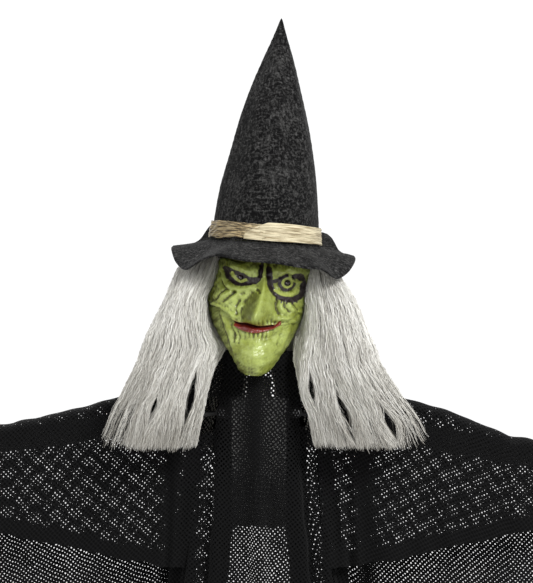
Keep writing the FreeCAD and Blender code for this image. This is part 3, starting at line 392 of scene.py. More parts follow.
# skin colours: the darkest serves both for random mottle and for painted shade, the palest both for paler
# clouds and for painted highlights
SKIN_MOTTLE_AND_SHADE, SKIN_MIDDLE, SKIN_PALE_AND_HIGHLIGHT = (0.065, 0.068, 0.005), (0.24, 0.28, 0.034), (0.41, 0.49, 0.125)
MATERIALS = {
    "case_plastic": grained("case_plastic", (0.20, 0.20, 0.195), (0.34, 0.34, 0.33), 0.42, 1100, 0.06),
    "dark_plastic": grained("dark_plastic", (0.012, 0.012, 0.013), (0.045, 0.045, 0.048), 0.45, 1100, 0.06),
    "light_plastic": grained("light_plastic", (0.50, 0.49, 0.44), (0.72, 0.71, 0.67), 0.40, 1000, 0.04),
    "gear_plastic": grained("gear_plastic", (0.66, 0.63, 0.54), (0.84, 0.82, 0.76), 0.36, 1300, 0.03),
    "steel": grained("steel", (0.38, 0.38, 0.39), (0.66, 0.66, 0.67), 0.30, 1600, 0.02, 1,
                     stretch=(1, 1, 0.1)),
    "spring_steel": grained("spring_steel", (0.52, 0.52, 0.51), (0.78, 0.78, 0.77), 0.18, 1400, 0.01, 1.0),
    "cell_wrap": grained("cell_wrap", (0.02, 0.05, 0.16), (0.06, 0.12, 0.30), 0.22, 700, 0.01, coat=0.5),
    "board": grained("board", (0.01, 0.11, 0.04), (0.03, 0.22, 0.09), 0.45, 1500, 0.05, stretch=(1, 0.2, 1)),
    "cone_paper": grained("cone_paper", (0.012, 0.012, 0.012), (0.06, 0.06, 0.055), 0.9, 800, 0.2),
    "cable_sleeve": grained("cable_sleeve", (0.008, 0.008, 0.008), (0.03, 0.03, 0.03), 0.5, 1500, 0.05),
    "skull_plastic": grained("skull_plastic", (0.16, 0.20, 0.035), (0.30, 0.36, 0.08), 0.5, 600, 0.1),
    "arm_foam": grained("arm_foam", (0.05, 0.05, 0.05), (0.16, 0.16, 0.155), 0.95, 420, 0.9),
    "arm_wire": grained("arm_wire", (0.02, 0.02, 0.02), (0.06, 0.06, 0.06), 0.45, 1600, 0.03),
    "lamp": lens("lamp"),
    "face_vinyl": vinyl("face_vinyl", SKIN_MOTTLE_AND_SHADE, SKIN_MIDDLE, SKIN_PALE_AND_HIGHLIGHT),
    "hand_vinyl": vinyl("hand_vinyl", SKIN_MOTTLE_AND_SHADE, SKIN_MIDDLE, SKIN_PALE_AND_HIGHLIGHT),
    "hat_felt": felt("hat_felt"),
    "raffia": raffia("raffia"),
    "hair_fibre": fibre("hair_fibre"),
    "robe_gauze": gauze("robe_gauze"),
}


def dress(thing, slot, body=None, replaces=()):
    """Gives a piece its material and says what it rides on and stands for."""
    thing.data.materials.clear()
    thing.data.materials.append(MATERIALS[slot])
    if replaces:
        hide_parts(*replaces)
    if body:
        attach(thing, body)
    return thing


# ---------------------------------------------------------------- face

# height, then the middle and the half depth of the head behind its face
HEAD_DEPTHS = ((-14, -62, 11), (-6, -51, 26), (14, -38, 39), (34, -23, 50), (56, -11, 57), (80, -5, 59),
               (104, -2, 52), (124, 0, 44))
# height, then the face's left and right edges
FACE_EDGES = ((-14, -8, 5), (-10, -15, 11), (-3, -21, 17.5), (7, -29, 23), (14, -36, 28), (24, -43.5, 33),
              (34, -50.5, 37), (46, -55, 41), (63, -56, 45), (78, -52, 47), (100, -45, 47), (124, -40, 42))
FACE_BACK, FACE_TOP, CHIN = -12, 119, -13.6
SHELL, EYE_HOLE = 2.2, 2.75
# across and height of the line between the mask and the jaw, and of the lower edge of the painted lip
MOUTH_LINE = ((-56, 56), (-46, 51), (-33, 46), (-25.6, 39.5), (-18, 37), (-10, 37), (1.7, 35), (13, 36.8),
              (21, 37.4), (30, 39), (38, 43), (56, 56))
LIP_LOW = ((-30, 37), (-22, 33), (-15.6, 29.8), (-4, 27.6), (4, 29), (13.6, 32.6), (20, 36.5), (30, 40))
CHEEK_START = 24
# a first height of the mouth's line for every column, and how often it is looked up again
MOUTH_GUESS, SEARCHES = 40.0, 6

# height, then across: how far the nose's ridge lies to the right, how far it stands out, and its half widths
NOSE_RIDGE = ((35, -2), (42, -2), (56, 1), (70, 2.8), (84, 2.7), (98, 2))
NOSE_RISE = ((30, 0), (34.5, 1), (37, 9), (39, 19), (42, 24), (47, 25), (55, 20), (65, 14), (75, 8),
             (86, 2.5), (96, 0), (130, 0))
NOSE_LEFT = ((30, 9), (38, 13), (46, 16), (57, 16), (66, 11), (76, 6), (96, 4))
NOSE_RIGHT = ((30, 8), (38, 11), (46, 14), (57, 14), (66, 12), (76, 8), (96, 4))

# the painted lines of the eyes: across and height
LEFT_LOWER_LID = ((-36, 89), (-34, 82), (-25, 75.5), (-18, 75), (-7, 77.5), (-2, 82), (-1, 93.5))
LEFT_UPPER_LID = ((-36, 89), (-29, 86), (-22, 84), (-12, 80), (-6, 80))
LEFT_IRIS = ((-30, 85), (-27.4, 81.2), (-24, 78.4), (-20, 77.3), (-15.6, 79))
RIGHT_EYE = (25, 79)
RIGHT_SPIRAL = ((6, 91), (8, 80), (11, 72), (17, 66), (22, 63.4), (31, 63), (38, 67), (40, 72), (40, 80),
                (36, 86), (31, 86))
RIGHT_UPPER_LID = ((9, 79), (14, 80), (19, 83), (24, 86))
RIGHT_GLINT = ((14, 71), (20, 67.8), (27, 67.3), (33, 71), (35.5, 75))
RIGHT_CORNER = ((30, 81.5), (34, 80.5), (38, 81))
LASHES = ((16, 66), (21, 63.5), (26, 63), (31, 63.2), (35, 65))
FROWN_LINE = ((-1, 99), (-1, 91), (-2, 84))

# wrinkles and folds of the mask, then of the jaw: rise or depth, half width, and the line that each follows
UPPER_FOLDS = (
    (3.0, 5.5, ((-40, 97), (-30, 93), (-16, 88), (-5, 88))),
    (2.6, 6.0, ((9, 88), (16, 91), (26, 94), (38, 93))),
    (1.6, 2.6, ((-41, 90), (-38, 79), (-29, 71), (-17, 69.5), (-7, 72))),
    (-1.3, 1.5, ((-43, 84), (-38, 73), (-30, 67), (-24, 66))),
    (-1.5, 1.3, ((-26, 66), (-30, 61), (-34, 56))),
    (1.0, 1.6, ((-30, 66), (-35, 61), (-39, 56))),
    (-1.2, 1.2, ((-34, 69), (-38, 64), (-42, 58))),
    (1.2, 2.0, ((-22, 67), (-25, 61), (-31, 55))),
    (-1.0, 1.6, ((-46, 70), (-49, 62), (-48, 55))),
    (-1.4, 1.3, FROWN_LINE),
    (-1.4, 1.3, ((5.5, 99), (5, 92), (5, 85))),
    (1.7, 1.5, ((2, 101), (2, 93), (2, 85))),
    (-1.2, 1.2, ((-14, 101), (-19, 96), (-30, 98))),
    (-1.0, 1.0, ((14, 101), (20, 99), (32, 100))),
    (-1.6, 1.4, ((17, 61), (16, 55), (18, 49))),
    (1.2, 1.5, ((20, 61), (20, 55), (22, 50))),
    (-1.4, 1.2, ((23, 60), (24, 55), (27, 51))),
    (1.1, 1.4, ((27, 60), (28, 55), (31, 52))),
    (-1.2, 1.2, ((31, 60), (33, 56), (36, 53))),
    (2.2, 3.2, ((8, 58), (14, 47), (22, 43), (31, 43))),
    (-1.6, 1.6, ((15, 40), (22, 40), (30, 43.5), (37, 49))),
    (1.4, 1.8, ((-46, 53.5), (-37, 51), (-30, 47), (-25, 42.5))),
    (-1.3, 1.5, ((-20, 58), (-23, 52), (-22, 45))),
    (-2.0, 1.1, ((-3, 70), (-1, 69), (0, 67.5))),
)
LOWER_FOLDS = (
    (-1.8, 3.0, ((-22, 25), (-10, 22), (2, 22), (14, 25), (20, 29))),
    (1.4, 1.6, ((-38, 45), (-31, 28), (-21, 8))),
    (-1.2, 1.4, ((-27, 34), (-23, 26), (-22, 18))),
    (1.0, 1.2, ((-24, 33), (-20, 26), (-20, 19))),
    (-1.0, 1.2, ((-19, 28), (-17, 23), (-17, 17))),
    (1.0, 1.4, ((31, 39), (28, 27), (23, 12))),
    (-0.9, 1.4, ((24, 33), (23, 26), (20, 18))),
    (-1.0, 2.2, ((-16, -2), (-6, -6), (6, -6), (12, -3))),
)


def round_head(x_share, z):
    """The plain head's surface in front, at a share of the half width from -1 to 1 and a height."""
    left, right = read(FACE_EDGES, z, 1), read(FACE_EDGES, z, 2)
    middle, deep = read(HEAD_DEPTHS, z, 1), read(HEAD_DEPTHS, z, 2)
    x = (left + right) / 2 + (right - left) / 2 * np.sin(x_share)
    y = middle - deep * np.cos(x_share)
    out = np.stack([np.sin(x_share) / np.maximum((right - left) / 2, 1), -np.cos(x_share) / deep, 0 * z], -1)
    return np.stack([x, y, z], -1), out / np.linalg.norm(out, axis=-1, keepdims=True)


def nose(x, z):
    """How far the hooked nose stands out: flat flanks that meet in a rounded ridge."""
    aside = x - read(NOSE_RIDGE, z)
    wide = np.where(aside < 0, read(NOSE_LEFT, z), read(NOSE_RIGHT, z))
    flank = (np.sqrt((aside / wide) ** 2 + 0.02) - 0.14) / 0.87
    return read(NOSE_RISE, z) * np.clip(1 - flank, 0, 1) ** 1.1


def folds(x, z, lines):
    return sum(rise * hump(distance(x, z, line), 1.2 * wide) for rise, wide, line in lines)


def blurred(field, reach):
    """The field averaged over a square of grid points round each."""
    for axis in (0, 1):
        padded = np.pad(field, [(reach, reach) if a == axis else (0, 0) for a in (0, 1)], mode="edge")
        sums = np.cumsum(padded, axis=axis)
        size = 2 * reach + 1
        first = np.take(sums, [size - 1], axis=axis)
        later = np.take(sums, range(size, sums.shape[axis]), axis=axis)
        earlier = np.take(sums, range(0, sums.shape[axis] - size), axis=axis)
        field = np.concatenate([first, later - earlier], axis=axis) / size
    return field


def relief_shade(relief):
    """Painted shade from a relief: about 1 in its folds and hollows, and -1, a painted highlight, on its
    ridges.
    """
    return np.clip((blurred(relief, 5) - relief) * 1.1, -1, 1)


def rimmed(thing):
    """Turns the shell's open edges in towards the head's middle, so that it shows its thickness."""
    centre = HEAD @ Vector((0, -20 * MM, 60 * MM))
    with reworked(thing) as work:
        rim = [e for e in work.edges if e.is_boundary]
        made = bmesh.ops.extrude_edge_only(work, edges=rim)["geom"]
        for vert in (v for v in made if isinstance(v, bmesh.types.BMVert)):
            vert.co += (centre - vert.co).normalized() * SHELL * MM
    thing.data.shade_smooth()


def spread(z, back, columns):
    """The angles of each row of columns, from one side of the head at that depth round to the other."""
    most = np.arccos(np.clip((read(HEAD_DEPTHS, z, 1) - back) / read(HEAD_DEPTHS, z, 2), -1, 1))
    return np.linspace(-1, 1, columns)[None, :] * most


def upper_face():
    """The mask from the mouth line to under the hat."""
    rows, columns = 210, 330
    share = np.linspace(0, 1, rows)[:, None] ** 0.97
    mouth = np.full((rows, columns), MOUTH_GUESS)
    for _ in range(SEARCHES):
        z = mouth + (FACE_TOP - mouth) * share
        angle = spread(z, FACE_BACK, columns)
        at_mouth, _ = round_head(angle[:1], mouth[:1])
        mouth = np.broadcast_to(read(MOUTH_LINE, at_mouth[..., 0]), (rows, columns))
    points, out = round_head(angle, z)
    x = points[..., 0]
    stand = nose(x, z)
    rough = 1 - 0.75 * ramp(stand, 0, 6)
    relief = 1.35 * folds(x, z, UPPER_FOLDS)
    relief += 3.6 * hump(np.hypot(x + 36, z - 61), 11) + 3.4 * hump(np.hypot(x - 28, z - 52), 10)
    relief += 2.4 * hump(np.hypot((x + 17) / 1.7, z - 92), 6)
    relief += 2.0 * hump(np.hypot((x - 22) / 1.7, z - 94), 6)
    relief -= 2.6 * hump(np.hypot((x + 20) / 1.5, z - 80), 5.5)
    relief -= 1.6 * hump(np.hypot(x - 25, z - 76), 10)
    eye = np.hypot(x - RIGHT_EYE[0], z - RIGHT_EYE[1])
    relief += 1.8 * hump(eye, 6.5) - 0.9 * hump(eye - 8.6, 1.2)
    relief += rough * (0.75 * ripple(3, 8, x, z) + 0.24 * ripple(4, 3.5, x, z * 0.7))
    puckers = np.cos(2 * math.pi * (x + 0.12 * z) / 3.9) * hump(z - read(MOUTH_LINE, x) - 3, 3.4)
    relief += 0.55 * puckers * edge(np.abs(x), 22, 6) * edge(-x, 4, 8)
    lid = distance(x, z, LEFT_LOWER_LID)
    spiral = distance(x, z, RIGHT_SPIRAL)
    relief -= 0.8 * hump(lid, 2.4) + 0.8 * hump(spiral, 2.4)
    points += out * relief[..., None]
    points[..., 1] -= stand
    thing = mesh_object("face", points, grid_faces(rows, columns), HEAD)

    wobble = 0.35 * ripple(8, 4, x, z)
    ink = highest(
        edge(lid + wobble, 2.2),
        edge(distance(x, z, LEFT_UPPER_LID) + wobble, 2.3),
        edge(np.hypot((x + 20) / 1.3, z - 81.5), 4.2),
        0.9 * edge(distance(x, z, FROWN_LINE), 0.9),
        edge(spiral + 0.5 * wobble, 2.8),
        edge(distance(x, z, RIGHT_UPPER_LID) + wobble, 1.9),
        edge(eye, 8.6) * edge(z, RIGHT_EYE[1] + 4),
        *(edge(distance(x, z, ((foot, low), (foot * 1.03 - 0.8, low - 4.2))), 0.8) for foot, low in LASHES),
    )
    iris = highest(
        edge(distance(x, z, LEFT_IRIS), 1.5),
        edge(distance(x, z, RIGHT_GLINT), 1.5),
        edge(distance(x, z, RIGHT_CORNER), 1.0),
        edge(np.abs(eye - 4.3), 1.15),
    )
    mark(thing, "iris", iris)
    mark(thing, "ink", ink * (1 - iris))
    mark(thing, "lip", edge(z - read(MOUTH_LINE, x), 0.4) * edge(np.abs(x + 1), 23, 2))
    # painted shade in the relief's hollows and painted highlights on its ridges
    shade = 1.25 * relief_shade(relief + 0.12 * stand)
    flank = (read(NOSE_RIDGE, z) - x) / read(NOSE_LEFT, z)
    # painted shade on the nose's left flank, which faces away from the light
    shade += 0.80 * edge(np.abs(flank - 0.60), 0.46, 0.40) * edge(np.abs(z - 54), 17, 9)
    # painted highlight along the right side of the nose's ridge, its lit side
    shade -= 0.8 * edge(np.abs(flank + 0.05), 0.14, 0.14) * edge(np.abs(z - 56), 20, 8)
    # painted shadow of the hat's brim over the upper forehead, and painted shade round the left lower lid
    shade += 1.1 * edge(94 - z, 0, 11) + 0.5 * hump(lid, 3.6) * (x < -3)
    # painted shade on the face's left side below the eye
    shade += 0.45 * edge(x, -38, 10) * edge(z, 74, 8)
    mark(thing, "crease", np.clip(shade, -1, 1))
    cut_eyes(thing)
    rimmed(thing)
    dress(thing, "face_vinyl", "head", ["face_mask"])


def cut_eyes(thing):
    """Opens the mask round each lamp."""
    back = HEAD.inverted()
    boxes = [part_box("eye_lamp_" + side) for side in SIDES]
    lamps = [back @ ((low + high) / 2) for low, high in boxes]
    cut_out(thing, lambda middle: any(math.hypot(*(back @ middle - at).xz) < EYE_HOLE * MM for at in lamps))


def across_jaw(columns):
    """Where about each column of the jaw's top edge is across, for the first guess of its height."""
    return 48 * np.sin(np.linspace(-1.45, 1.45, columns))[None, :]


def lower_face():
    """The jaw, from behind the upper lip to under the chin, with its painted lip."""
    rows, columns = 150, 260
    share = np.linspace(0, 1, rows)[:, None]
    mouth = np.full((rows, columns), MOUTH_GUESS)
    behind_mask = 9.0 * edge(CHEEK_START - np.abs(across_jaw(columns)), 0, 6)
    for _ in range(SEARCHES):
        top = mouth - 1.2 + behind_mask
        z = CHIN + (top - CHIN) * share
        angle = spread(z, FACE_BACK - 2 - 14 * ramp(z, 50, -40), columns)
        at_mouth, _ = round_head(angle[-1:], mouth[:1])
        mouth = np.broadcast_to(read(MOUTH_LINE, at_mouth[..., 0]), (rows, columns))
    points, out = round_head(angle, z)
    x = points[..., 0]
    tuck = edge(CHEEK_START - np.abs(x + 1), 0, 7) * ramp(top - z, 15, 0)
    relief = folds(x, z, LOWER_FOLDS) - np.where(x < 0, 3.0, 0.4) * tuck
    relief += 4.2 * hump(np.hypot((x + 0.5) / 1.1, z - 4), 14)
    relief -= 3.0 * edge(x, -39 + (46 - z) * 0.46, 6) * hump(z - 28, 26)
    lip = edge(read(LIP_LOW, x) - z, 0, 1.0) * edge(np.abs(x + 1), 22.5, 1.5)
    relief += 2.0 * lip * ramp(top - z, 0, 3) - 2.5 * lip * ramp(top - z, 2.2, 0)
    bumps = np.cos(2 * math.pi * (x + 1) / 4.3) * hump(z - 26, 3.2) * edge(np.abs(x), 11, 4)
    relief += 0.8 * bumps + 0.45 * ripple(13, 11, x, z) + 0.14 * ripple(14, 3.5, x, z)
    points += out * relief[..., None]
    closed = np.vstack([points.reshape(-1, 3), points[0].mean(0) - (0, 0, 0.6)])
    fan = [(rows * columns, j + 1, j) for j in range(columns - 1)]
    thing = mesh_object("jaw_face", closed, grid_faces(rows, columns) + fan, HEAD)
    # painted shadow: black along the jaw's top inside the mouth, which lies in shade behind the upper lip
    mouth_shadow = ramp(top - z, 1.4, 0) * edge(np.abs(x), 24, 2)
    # painted shade in the relief's hollows and under the chin, painted highlights on its ridges
    shade = 1.2 * relief_shade(relief) + 0.8 * hump(z + 10, 6) * hump(x + 6, 14)
    # painted shade on the jaw's recessed left side and on its right side
    shade += 0.6 * edge(x, -38 + (46 - z) * 0.46, 4) + 0.25 * edge(-x, -30, 5)
    # painted highlight on the chin
    shade -= 0.5 * hump(np.hypot(x - 3, z - 5), 9)
    # the jaw's ink is only that painted shadow in the mouth
    fields = {"lip": lip, "ink": 0.85 * mouth_shadow, "iris": 0 * x, "crease": np.clip(shade, -1, 1)}
    for name, field in fields.items():
        mark(thing, name, np.append(field.ravel(), 0))
    rimmed(thing)
    dress(thing, "face_vinyl", "jaw", ["jaw"])


upper_face()
lower_face()


# ---------------------------------------------------------------- hat

HAT_FOOT, HAT_TIP, HAT_RADIUS, BRIM_RADIUS, FELT = 117, 343, 55, 93, 2.5
HAT_AXIS = Matrix.Translation((-3 * MM, -2 * MM, 0))
HAT_PLACE = HEAD @ HAT_AXIS
# height and radius of the cone
CONE = ((117, 55), (134, 53), (176, 47.7), (214, 40), (248, 31.7), (288, 19.4), (325, 6.4), (340, 1.6),
        (343, 0.05))
# angle from the front towards the right and how far the brim's edge lies below the foot of the cone
BRIM_WAVE = ((0, 18.5), (12, 19), (29, 20.5), (41, 20), (54, 28), (66, 22), (78, 13), (92, 7), (111, 5),
             (127, 2), (141, -16), (165, -17), (180, -16), (200, -19), (213, -20), (221, -16), (231, 2),
             (248, 7), (262, 9), (282, 14), (296, 24), (309, 31), (322, 22), (334, 15.3), (345, 16.5))


def ring_of(radius, angle, height):
    return np.stack(np.broadcast_arrays(radius * np.sin(angle), -radius * np.cos(angle), height), -1)


def whole_turn(columns):
    return np.linspace(0, 2 * math.pi, columns, endpoint=False)[None, :]


def hat_cone():
    """The felt cone, dented and a little faceted between its foot and its tip."""
    rows, columns = 230, 300
    angle = whole_turn(columns)
    z = np.linspace(HAT_FOOT + 0.2, HAT_TIP, rows)[:, None]
    radius = np.interp(z, *np.array(smooth(CONE)).T)
    facets = 0.9 * np.cos(5 * angle + 0.7) + 0.7 * np.cos(8 * angle + 2.1 + z / 90)
    east, north = radius * np.sin(angle), radius * np.cos(angle)
    dents = 1.1 * ripple(21, 60, east, north, 0.6 * z)
    fuzz = 0.16 * ripple(22, 6, east, north, z)
    fade = ramp(z, 136, 176) * ramp(z, HAT_TIP, HAT_TIP - 60)
    radius = np.maximum(radius + (facets + dents) * fade + fuzz * ramp(z, 340, 320), 0.05)
    lean = 1.2 * np.sin((z - HAT_FOOT) / (HAT_TIP - HAT_FOOT) * math.pi)
    points = ring_of(radius, angle, z) + np.stack([lean, 0 * z, 0 * z], -1)
    thing = mesh_object("hat", points, grid_faces(rows, columns, True), HAT_PLACE)
    dress(thing, "hat_felt", "head", ["hat_cone"])


def hat_brim():
    """The wavy felt brim, with a top, an underside and a rounded edge."""
    columns, across = 400, 34
    angle = whole_turn(columns)
    wave = [(a + turned, d) for turned in (-360, 0, 360) for a, d in BRIM_WAVE]
    line = smooth(wave, 900)
    drop = np.interp(np.degrees(angle), line[:, 0], line[:, 1])
    top = np.linspace(0, 1, across)
    share = np.concatenate([top, top[::-1]])[:, None]
    under = np.concatenate([np.zeros(across), np.ones(across)])[:, None]
    start = HAT_RADIUS - 0.6
    radius = start + (BRIM_RADIUS - start) * share + 1.1 * ripple(23, 1.6, angle) * share**6
    fall = drop * share**0.92 + 1.4 * ripple(24, 0.9, angle, share * 0.5) * share
    round_edge = 0.5 * FELT * ramp(share, 0.97, 1) * (0.9 - 1.8 * under)
    z = HAT_FOOT - fall - under * FELT - round_edge + 0.14 * ripple(25, 0.05, angle, share * 0.8)
    faces = grid_faces(2 * across, columns, True)
    thing = mesh_object("hat_brim_felt", ring_of(radius, angle, z), faces, HAT_PLACE)
    dress(thing, "hat_felt", "head", ["hat_brim"])


def band_round():
    """The raffia strip round the foot of the cone, pinched and creased at its left front."""
    columns, rows = 420, 24
    angle = np.linspace(-math.pi, math.pi, columns)[None, :]
    up = np.linspace(0, 1, rows)[:, None]
    frown = hump(np.degrees(angle) + 14, 16)
    low = 119 + 0.8 * ripple(31, 0.7, angle) + 1.5 * frown
    high = 135.5 + 0.9 * ripple(32, 0.6, angle) - 1.2 * frown
    z = low + (high - low) * up
    crumple = 0.7 * ripple(33, 5, 57 * angle * 0.35, z) + 1.1 * frown * ripple(34, 4, 57 * angle * 0.7, z)
    radius = read(CONE[:4], z) + 1.3 + crumple
    strip = mesh_object("band", ring_of(radius, angle, z), grid_faces(rows, columns), HAT_PLACE)
    # darker and streaked over the left front: partly the raffia's staining, partly painted shade
    stain = 0.25 + 0.75 * edge(np.abs(np.degrees(angle) + 48), 42, 30) + 0.15 * ripple(35, 0.5, angle, up)
    paint_strip(strip, angle, z, stain)
    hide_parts("hat_band")


def band_end():
    """The strip's wide end, which crosses over the rest in front and is frayed where it stops."""
    columns, rows = 260, 40
    over = np.radians(np.linspace(-18, 87, columns))[None, :]
    share = np.linspace(0, 1, columns)[None, :]
    opened = ramp(share, 0, 0.22) ** 0.6
    frayed = ramp(share, 0.93, 1)
    up = np.linspace(0, 1, rows)[:, None]
    low = 119.2 + 1.6 * share - 1.0 * opened
    high = low + 2.5 + 13.6 * opened + 2.0 * hump(share - 0.35, 0.3)
    z = low + (high - low) * up
    notched = over + 0.055 * ripple(36, 3.2, z) * frayed
    radius = read(CONE[:4], z) + 2.2 + 0.35 * ripple(37, 6, 57 * over * 0.15, z) + 1.2 * hump(share, 0.08)
    radius = radius + 0.5 * frayed * ripple(38, 2.4, z)
    end = mesh_object("band_end", ring_of(radius, notched, z), grid_faces(rows, columns), HAT_PLACE)
    # painted shade at the end's root and along its middle fold, over faint staining
    paint_strip(end, over, z, 0.05 + 0.35 * hump(share, 0.1) + 0.3 * hump(up - 0.5, 0.14) * (share > 0.2))


def paint_strip(strip, angle, z, stain):
    """Gives a raffia strip its thickness, and what its fibres follow and where it is darker: partly its
    staining, partly painted shade.
    """
    mark(strip, "along", np.broadcast_to(angle, z.shape) * 2.6)
    mark(strip, "up", z * 1.35)
    mark(strip, "stain", np.clip(stain + 0 * z, 0, 1))
    thicken = strip.modifiers.new("thickness", "SOLIDIFY")
    thicken.thickness, thicken.offset = 0.7 * MM, 1
    dress(applied(strip), "raffia", "head")


hat_cone()
hat_brim()
band_round()
band_end()


# ---------------------------------------------------------------- hair

# height above the hanging eye, then how far from the middle a side lock's inner and outer edges are
LEFT_LOCK = ((-62, 61, 163), (-46, 59, 157), (-20, 55, 146), (0, 52, 135), (28, 47, 121), (45, 42, 115),
             (60, 49, 109), (90, 52, 94), (105, 46, 88), (122, 40, 80), (139, 36, 64))
RIGHT_LOCK = ((-62, 55, 176), (-50, 53, 172), (-22, 48, 156), (-5, 43, 143), (27, 41, 121), (40, 43, 117),
              (60, 46, 108), (90, 46, 96), (100, 46, 90), (116, 49, 79), (136, 53, 66))
# height, then the front and the back of a side lock
LOCK_DEPTH = ((-62, -106, -84), (-20, -104, -80), (20, -101, -66), (50, -98, -40), (80, -92, -22),
              (122, -70, -14), (140, -58, -12))
# height, then how far from the middle a back lock begins and ends, and how far back it is at each of those
BACK_LOCK = ((-62, 20, 86, 50, 22), (0, 15, 84, 54, 6), (25, 12, 82, 54, -2), (60, 8, 74, 50, -20),
             (100, 4, 64, 38, -14), (122, 2, 56, 30, -10), (141, 1, 50, 25, -8))
# openings between the strands: across, height, half width and half height of each
GAPS = {
    "left": ((67, -6, 5, 24), (103, -14, 4, 14)),
    "right": ((52, 3, 4, 16), (84, -20, 5, 24), (128, -30, 6, 14)),
}
STRANDS, JOINTS, LAYERS = 3300, 30, 3
SIDE_TIP, BACK_ROOT, BACK_TIP = -50, 141, -58


def widths(chance, centre, facing):
    """The way across each strand, flat on to where it faces, each turned a little its own way."""
    facing = facing + chance.normal(0, 0.45, (STRANDS, 1, 3))
    aside = np.cross(np.gradient(centre, axis=1), facing)
    return aside / np.linalg.norm(aside, axis=-1, keepdims=True)


def ribbons(name, centre, aside, tone):
    """Flat strands from arrays of centre points, half-width vectors and tones, one row for each strand."""
    points = np.stack([centre - aside, centre + aside], 2)
    first = (np.arange(STRANDS)[:, None] * JOINTS + np.arange(JOINTS - 1)[None, :]).reshape(-1) * 2
    faces = np.stack([first, first + 1, first + 3, first + 2], -1)
    thing = mesh_object(name, points, faces.tolist())
    mark(thing, "tone", np.repeat(tone[..., None], 2, 2))
    return thing


def side_lock(name, side, seed, layer):
    """One layer, 0 at the back, of the crimped hair that spreads downwards beside the face."""
    chance = np.random.default_rng(seed)
    sign = SIDES[side]
    table = LEFT_LOCK if side == "left" else RIGHT_LOCK
    t = np.linspace(0, 1, JOINTS)[None, :]
    a = chance.uniform(0, 1, STRANDS)[:, None]
    inward = LAYERS - 1 - layer
    depth = (inward + chance.uniform(0, 1, a.shape)) / LAYERS
    b = 0.5 + (depth - 0.5) * np.sqrt(1 - 0.85 * (2 * a - 1) ** 2)
    clumps = 15
    index = np.clip((a * clumps + chance.normal(0, 0.7, a.shape)).astype(int), 0, clumps - 1)
    centres = (np.arange(clumps) + chance.uniform(0.2, 0.8, clumps)) / clumps
    phase = chance.uniform(0, 2 * math.pi, clumps)[index]
    lift = chance.uniform(-1, 1, clumps)[index]
    own = chance.uniform(0, 2 * math.pi, a.shape)
    pull = 0.05 + 0.14 * np.sin(math.pi * t) + 0.22 * ramp(t, 0.70, 1)
    clumped = a + (centres[index] - a) * pull
    top = read(table, 1e3, 0) - chance.uniform(0, 4, a.shape)
    thin = ramp(a, 0.62, 0.74)
    early = chance.random(a.shape) < 0.10 + 0.875 * thin
    early = early * (0.55 * thin + (1 - 0.55 * thin) * chance.random(a.shape))
    tip = SIDE_TIP + chance.normal(0, 2.4, a.shape) + 2.6 * lift + 62 * early + 12 * ramp(a, 0.86, 1) ** 2
    z = top + (tip - top) * t
    inner, outer = read(table, z, 1), read(table, z, 2)
    wave = 0.012 * np.sin(2 * math.pi * t * 2.1 + phase) + 0.014 * np.sin(2 * math.pi * t * 3.3 + own)
    x = inner + (outer - inner) * (clumped + wave * np.sin(math.pi * np.clip(clumped, 0, 1)))
    front, back = read(LOCK_DEPTH, z, 1), read(LOCK_DEPTH, z, 2)
    y = front + (back - front) * b + 1.4 * np.sin(2 * math.pi * t * 1.7 + phase) + 3.0 * lift * t
    y = y + 1.1 * np.sin(2 * math.pi * t * 4.1 + 2 * own)
    x = x - 10 * (1 - clumped) * ramp(b, 0.35, 0.65) * hump(z - 48, 30)
    for gx, gz, wide, high in GAPS[side]:
        there = read(table, gz, 1) + (read(table, gz, 2) - read(table, gz, 1)) * a
        x = x + hump(z - gz, high) * hump(there - gx, wide * 2.4) * wide * np.sign(there - gx) * 1.1
    crimp = chance.normal(0, 0.66, x.shape)
    crimp[:, 1:] = 0.75 * crimp[:, 1:] - 0.45 * crimp[:, :-1]
    x, y = x + crimp, y + np.roll(crimp, 7, 1) * 0.7
    centre = np.stack([sign * x, y, z], -1)
    aside = widths(chance, centre, np.stack([sign * (2 * a - 1) * 0.9, -1 + 0 * a, 0 * a], -1))
    half = chance.uniform(0.16, 0.36, a.shape) * (1 - 0.6 * ramp(t, 0.8, 1))
    tone = chance.normal(0.70, 0.14, a.shape) + 0.10 * lift + 0.05 * np.sin(2 * math.pi * t * 2.3 + phase * 3)
    # painted shade: darker at the roots, under the brim, and on the inner layers
    tone = tone + chance.normal(0, 0.13, x.shape) - 0.35 * ramp(t, 1 / 7, 0) - 0.12 * inward
    tone = tone - 0.26 * ramp(t, 0.62, 0.92)
    return ribbons(name, centre, aside * half[..., None], tone)


